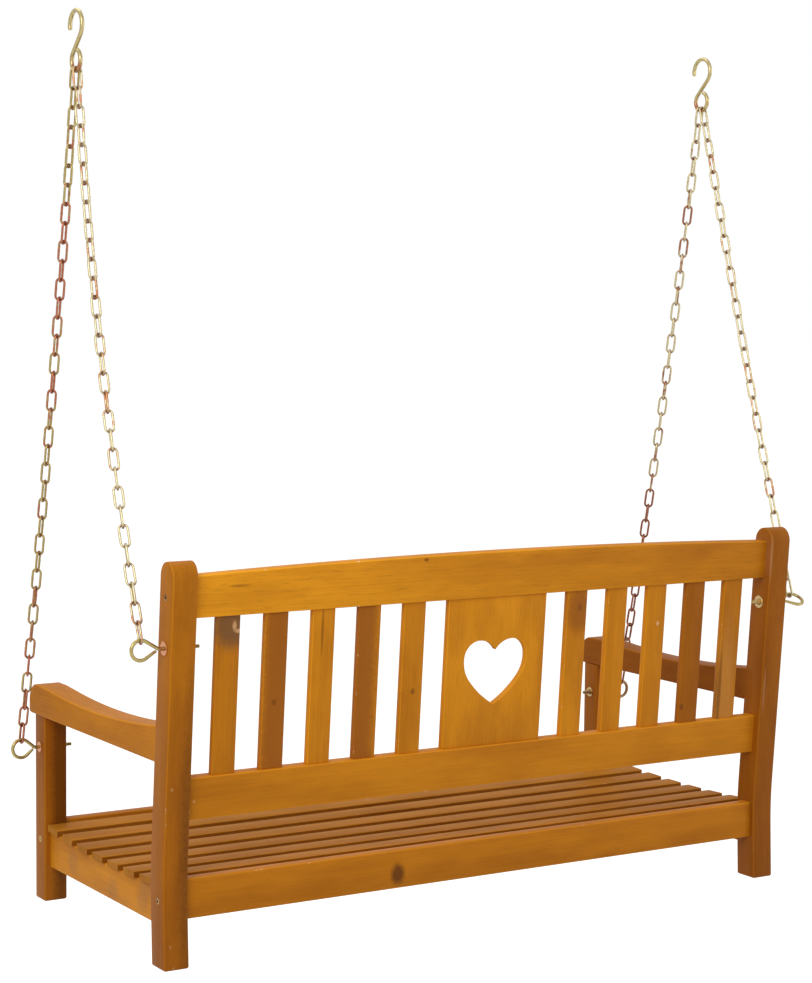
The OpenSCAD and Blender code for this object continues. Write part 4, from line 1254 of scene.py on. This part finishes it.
# Corners of the rods sharper than this, in degrees, stay sharp
ROD_EDGE = 50


class PORCH_OT_hooks(bpy.types.Operator):
    """Bend the two S-hooks"""
    bl_idname = "porch.hooks"
    bl_label = "Hooks"

    def execute(self, context):
        scene, finishes = workshop(context)
        fit = scene.porch_fittings
        plated = finishes.zinc("hook_plating", linear("#b7a878"),
                               linear("#a87050"), 0.5, 45.0, 0.28, pinkness=-0.1,
                               zones=((1.2, 1.4, 0.3),))
        for side, _ in HANDS:
            low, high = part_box(side + "_hook")
            across, depth = (low.x + high.x) / 2, (low.y + high.y) / 2
            crook_r = (fit.crook - fit.hook_wire) / 2
            loop_r = (fit.loop - fit.hook_wire) / 2
            crook_z, loop_z = high.z - fit.crook / 2, low.z + fit.loop / 2
            slant = math.asin((crook_r + loop_r) / (crook_z - loop_z))
            bends = [(crook_r, crook_z, fit.crook_sweep * (1 - i / CROOK_STEPS) - slant)
                     for i in range(CROOK_STEPS + 1)]
            bends += [(loop_r, loop_z, math.pi - slant + fit.loop_sweep * i / LOOP_STEPS)
                      for i in range(LOOP_STEPS + 1)]
            points = [(across, depth + radius * math.cos(turn),
                       height + radius * math.sin(turn)) for radius, height, turn in bends]
            piece = modelled(side + "_s_hook", path_object("wire", points),
                             "rod", {
                "Diameter": fit.hook_wire, "Sides": 20, "Chamfer": 0.0012,
                "Tone": 0.35, "Material": plated})
            piece.data.set_sharp_from_angle(angle=math.radians(ROD_EDGE))
            finish_piece(piece, [side + "_hook"])
        return {"FINISHED"}


class PORCH_OT_eye_bolts(bpy.types.Operator):
    """Bend the four eye bolts and cut their threads"""
    bl_idname = "porch.eye_bolts"
    bl_label = "Eye bolts"

    def path(self, fit, reach, post, tip, washer):
        """From the shank's tip to the eye's end, round an eye at the origin."""
        ring_r = (fit.eye + fit.rod) / 2
        fork = reach - fit.neck - washer
        rise = math.asin(ring_r / fork)
        bend_x = -fork - fit.neck_bend * math.tan(rise / 2)
        start = -reach - post - tip
        count = int(fit.threaded / fit.thread * 4)
        points = [(start + fit.threaded * i / count, 0.0, 0.0) for i in range(count)]
        points.append((start + fit.threaded, 0.0, 0.0))
        for i in range(6):
            turn = rise * i / 5
            points.append((
                bend_x + fit.neck_bend * math.sin(turn), 0.0,
                fit.neck_bend * (1 - math.cos(turn))))
        for i in range(EYE_STEPS + 1):
            turn = rise - i * (math.pi + 2 * rise) / EYE_STEPS
            points.append((-ring_r * math.sin(turn), 0.0, ring_r * math.cos(turn)))
        short = (fit.rod / 2 * (1 + math.cos(2 * rise)) + 0.0002) / math.sin(2 * rise)
        points.append((short * math.cos(rise) - fork, 0.0, -short * math.sin(rise)))
        return points

    def execute(self, context):
        scene, finishes = workshop(context)
        fit = scene.porch_fittings
        plated = finishes.zinc(
            "eye_zinc", linear("#ae9e66"), linear("#a06a48"), 0.5, 70.0, 0.33)
        dark = finishes.zinc(
            "dark_eye_zinc", linear("#8a6c4c"), linear("#7c4a34"), 0.6, 70.0, 0.33)
        ring_r = (fit.eye + fit.rod) / 2
        washers = solids("eye_bolt_washers")
        washer = min(high.x - low.x for low, high in washers)
        for side, hand in HANDS:
            for end in ("rear", "front"):
                node = f"{side}_{end}_eye_bolt"
                low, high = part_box(node)
                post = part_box(f"{side}_{end}_post")
                face = max(post[1].x, -post[0].x)
                inner, out = sorted((abs(low.x), abs(high.x)))
                across = out - ring_r - fit.rod / 2
                reach = across - face
                wide = post[1].x - post[0].x
                turn = fit.turned if (side, end) == ("right", "rear") else 0.0
                shank = self.path(fit, reach, wide, face - wide - inner, washer)
                centre = Vector((
                    hand * across, (low.y + high.y) / 2, (low.z + high.z) / 2))
                place = (Matrix.Translation(centre) @ Matrix.Scale(hand, 4, X_AXIS)
                         @ Matrix.Rotation(turn, 4, "X"))
                points = [place @ Vector(p) for p in shank]
                metal = dark if (side, end) == ("right", "front") else plated
                piece = modelled(node + "_rod", path_object("rod", points),
                                 "rod", {
                    "Diameter": fit.rod, "Sides": 14, "Chamfer": 0.0008,
                    "Thread Pitch": fit.thread, "Thread Depth": fit.thread_depth,
                    "Threaded Length": fit.threaded, "Tone": 0.45, "Material": metal})
                piece.data.set_sharp_from_angle(angle=math.radians(ROD_EDGE))
                finish_piece(piece, [node])
        return {"FINISHED"}


class PORCH_OT_washers(bpy.types.Operator):
    """Set washers and nuts on the eye bolts"""
    bl_idname = "porch.washers"
    bl_label = "Washers and nuts"

    def execute(self, context):
        scene, finishes = workshop(context)
        fit = scene.porch_fittings
        coppered = finishes.zinc(
            "washer_zinc", scene.porch_chain.copper, linear("#b8683f"), 0.3, 90.0, 0.3)
        plated = finishes.nuts
        bore = fit.rod / 2 + 0.0001
        groups = {}
        for low, high in solids("eye_bolt_washers"):
            post = "left_rear_post" if low.x > 0 else "right_rear_post"
            outside = abs(middle((low, high)).x) > abs(middle(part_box(post)).x)
            size = round((high.z - low.z) / MM)
            groups.setdefault((outside, size), []).append((low, high))
        for (outside, size), boxes in sorted(groups.items()):
            metal, name = (coppered, "outer") if outside else (plated, "inner")
            radius = size * MM / 2
            half = (boxes[0][1].x - boxes[0][0].x) / 2
            soft = 0.0003
            shape = turned("washer", [
                ring(bore, -half), ring(radius - soft, -half), ring(radius, soft - half),
                ring(radius, half - soft), ring(radius - soft, half),
                ring(bore, half)], True)
            washers = set_fasteners(f"{name}_washers_{size}", shape, boxes, size, metal)
            finish_piece(washers, ["eye_bolt_washers"])
        boxes = solids("eye_bolt_nuts")
        size = boxes[0][1] - boxes[0][0]
        half, flat = size.x / 2, min(size.y, size.z) / 2
        soft = 0.0006
        shape = turned("nut", [
            ring(bore + soft, -half), ring(flat * 0.97, -half), ring(flat, soft - half, 6),
            ring(flat, half - soft, 6), ring(flat * 0.97, half), ring(bore + soft, half),
            ring(bore, half - soft), ring(bore, soft - half)], True)
        nuts = set_fasteners("eye_bolt_hex_nuts", shape, boxes, 3, plated)
        finish_piece(nuts, ["eye_bolt_nuts"])
        return {"FINISHED"}


class PORCH_OT_frame_bolts(bpy.types.Operator):
    """Set the socket-head bolts of the frame"""
    bl_idname = "porch.frame_bolts"
    bl_label = "Frame bolts"

    def execute(self, context):
        _, finishes = workshop(context)
        plated = finishes.zinc(
            "bolt_zinc", linear("#b8965c"), linear("#8a5c34"), 0.3, 90.0, 0.4)
        boxes = solids("frame_bolts")
        low, high = boxes[0]
        head = (high.z - low.z) / 2
        long = high.x - low.x
        socket, deep, tall, shank, soft = 0.0022, 0.0018, 0.0032, 0.003, 0.0005
        shape = turned("bolt", [
            ring(socket, -deep, 6), ring(socket, -soft / 2, 6),
            ring(socket * 1.2, 0.0), ring(head - soft, 0.0), ring(head, -soft),
            ring(head, -tall), ring(shank, -tall), ring(shank, -long)], False)

        def outer_end(box):
            end = middle(box)
            end.x = box[1].x if box[1].x > 0 else box[0].x
            return end

        piece = set_fasteners(
            "frame_socket_bolts", shape, boxes, 4, plated, at=outer_end)
        finish_piece(piece, ["frame_bolts"])
        return {"FINISHED"}


class PORCH_OT_chains(bpy.types.Operator):
    """Hang the four chains and their top links"""
    bl_idname = "porch.chains"
    bl_label = "Chains"

    def execute(self, context):
        scene, finishes = workshop(context)
        chain = scene.porch_chain
        bright = finishes.zinc("chain_plating", chain.brass, chain.pink, 0.4, 70.0, 0.3,
                               pinkness=-0.12)
        warm = finishes.zinc(
            "front_chain_zinc", chain.olive, linear("#a86a50"), 0.5, 70.0, 0.32,
            pinkness=-0.12, zones=((0.84, 1.24, 0.34), (0.2, 0.56, 0.2)))
        # The right front chain turns pinker and darker low down, from 0.1 m to 0.64 m high,
        # and a little from 1.1 m to 1.3 m
        patched = finishes.zinc("right_front_zinc", chain.brass, linear("#94604a"), 0.5,
                             70.0, 0.32, pinkness=-0.12,
                             zones=((0.1, 0.64, 0.6), (1.1, 1.3, 0.15)))
        for side, hand in HANDS:
            tops = sorted((middle(b) for b in solids(side + "_top_links")),
                          key=lambda place: place.y)
            for end, top in zip(("front", "rear"), tops):
                node = f"{side}_{end}_chain"
                rest = sorted((middle(b) for b in solids(node)), key=lambda place: -place.z)
                centres = [top] + rest
                line = centres[-1] - centres[0]
                across = Vector((line.y, -line.x, 0.0)).normalized() * hand
                count = len(centres)
                metal = bright if end == "rear" else warm if side == "left" else patched
                values = {
                    "Wire": chain.wire, "Link Width": chain.width, "Pitch": chain.pitch,
                    "Play": chain.play, "Weld": chain.weld, "Side": across,
                    "Count": count, "Wander": chain.wander, "Hand": hand,
                    "Closing Turn": 0.0 if count % 2 == 0 else math.pi / 2,
                    "Seed": 11 + len(node), "Material": metal}
                for name, stands_for, first, last in (
                        (node + "_links", node, 1, count - 1),
                        (f"{side}_{end}_top_link", side + "_top_links", 0, 0)):
                    piece = modelled(name, path_object("path", centres), "chain",
                                     {**values, "First": first, "Last": last})
                    finish_piece(piece, [stands_for])
        return {"FINISHED"}


# The camera's azimuth, elevation and roll in degrees, and its place
CAMERA_TURNS = (148.21, 4.824, 0.576)
CAMERA_PLACE = Vector((2.115, 3.3732, 1.028))
LAMP_AIM = Vector((0.0, 0.0, 0.55))
FLOOR_SIDES, FLOOR_REACH = 64, 60.0


class PORCH_OT_stage(bpy.types.Operator):
    """Set the camera, the lamps, the room and the floor"""
    bl_idname = "porch.stage"
    bl_label = "Stage"

    def execute(self, context):
        scene = context.scene
        studio = scene.porch_studio
        scene.view_settings.view_transform = "Standard"
        self.camera(scene, studio)
        self.floor(studio)
        self.room(scene, studio)
        for name, place, size, power in (
                ("key_lamp", (3.3, 2.7, 2.9), 2.6, studio.key),
                ("fill_lamp", (-3.4, 2.6, 1.5), 2.4, studio.fill),
                ("top_lamp", (0.6, -1.6, 3.9), 2.8, studio.top)):
            lamp = bpy.data.lights.new(name, "AREA")
            lamp.shape = "SQUARE"
            lamp.size = size
            lamp.energy = power
            thing = in_scene(name, lamp)
            thing.location = place
            thing.rotation_mode = "QUATERNION"
            thing.rotation_quaternion = (
                LAMP_AIM - Vector(place)).to_track_quat("-Z", "Y")
        return {"FINISHED"}

    def camera(self, scene, studio):
        azimuth, elevation, roll = (math.radians(d) for d in CAMERA_TURNS)
        back = Vector((
            math.sin(azimuth) * math.cos(elevation),
            -math.cos(azimuth) * math.cos(elevation), math.sin(elevation)))
        right = Z_AXIS.cross(back).normalized()
        up = back.cross(right)
        across = right * math.cos(roll) + up * math.sin(roll)
        above = up * math.cos(roll) - right * math.sin(roll)
        data = bpy.data.cameras.new("camera")
        data.lens = studio.focal
        data.clip_start = 0.05
        data.clip_end = 200.0
        thing = in_scene("camera", data)
        place = Matrix((across, above, back)).transposed().to_4x4()
        place.translation = CAMERA_PLACE
        thing.matrix_world = place
        scene.camera = thing

    def floor(self, studio):
        turns = [2 * math.pi * i / FLOOR_SIDES for i in range(FLOOR_SIDES)]
        rim = [(FLOOR_REACH * math.cos(turn), FLOOR_REACH * math.sin(turn), -studio.drop)
               for turn in turns]
        floor = mesh_object("floor", rim, [tuple(range(FLOOR_SIDES))])
        material = bpy.data.materials.new("pale_floor")
        n, shader = shaded(material, "BsdfPrincipled", "Material")
        shader.inputs["Base Color"].default_value = (0.6, 0.6, 0.6, 1.0)
        shader.inputs["Roughness"].default_value = 0.9
        shader.inputs["Emission Color"].default_value = (1.0, 1.0, 1.0, 1.0)
        n.feed(shader.inputs["Emission Strength"], self.seen(n) * 0.72)
        floor.data.materials.append(material)

    def seen(self, n):
        """One for rays from the camera, glossy and transmitted rays, else nought."""
        light = n.outputs("ShaderNodeLightPath")
        rays = n.math("MAXIMUM", light["Is Camera Ray"], light["Is Glossy Ray"])
        return n.math("MAXIMUM", rays, light["Is Transmission Ray"])

    def room(self, scene, studio):
        world = bpy.data.worlds.new("room")
        n, backdrop = shaded(world, "Background", "World")
        backdrop.inputs["Color"].default_value = (1.0, 1.0, 1.0, 1.0)
        n.feed(backdrop.inputs["Strength"], n.ramp(
            self.seen(n), 0.0, 1.0, studio.ambient, 1.0, smooth=False))
        scene.world = world


PIECES = (
    PORCH_OT_posts, PORCH_OT_armrests, PORCH_OT_rails, PORCH_OT_seat_slats,
    PORCH_OT_back_slats, PORCH_OT_heart_panel, PORCH_OT_dowels, PORCH_OT_frame_bolts,
    PORCH_OT_eye_bolts, PORCH_OT_washers, PORCH_OT_chains, PORCH_OT_hooks,
    PORCH_OT_stage)
SETTINGS = (
    ("porch_wood", PorchWood), ("porch_slats", PorchSlats), ("porch_chain", PorchChain),
    ("porch_fittings", PorchFittings), ("porch_studio", PorchStudio))


class PORCH_PT_panel(bpy.types.Panel):
    """Lists the swing's pieces and settings"""
    bl_idname = "PORCH_PT_panel"
    bl_label = "Porch swing"
    bl_space_type = "VIEW_3D"
    bl_region_type = "UI"
    bl_category = "Porch swing"

    def draw(self, context):
        for piece in PIECES:
            self.layout.operator(piece.bl_idname)
        for name, group in SETTINGS:
            box = self.layout.box()
            box.label(text=group.__doc__)
            for key in group.__annotations__:
                box.prop(getattr(context.scene, name), key)


def register():
    for name, group in SETTINGS:
        bpy.utils.register_class(group)
        setattr(bpy.types.Scene, name, PointerProperty(type=group))
    for each in (*PIECES, PORCH_PT_panel):
        bpy.utils.register_class(each)


def unregister():
    for each in reversed((*PIECES, PORCH_PT_panel)):
        bpy.utils.unregister_class(each)
    for name, group in reversed(SETTINGS):
        delattr(bpy.types.Scene, name)
        bpy.utils.unregister_class(group)


def main():
    register()
    for piece in PIECES:
        area, verb = piece.bl_idname.split(".")
        getattr(getattr(bpy.ops, area), verb)()


if __name__ == "__main__":
    main()
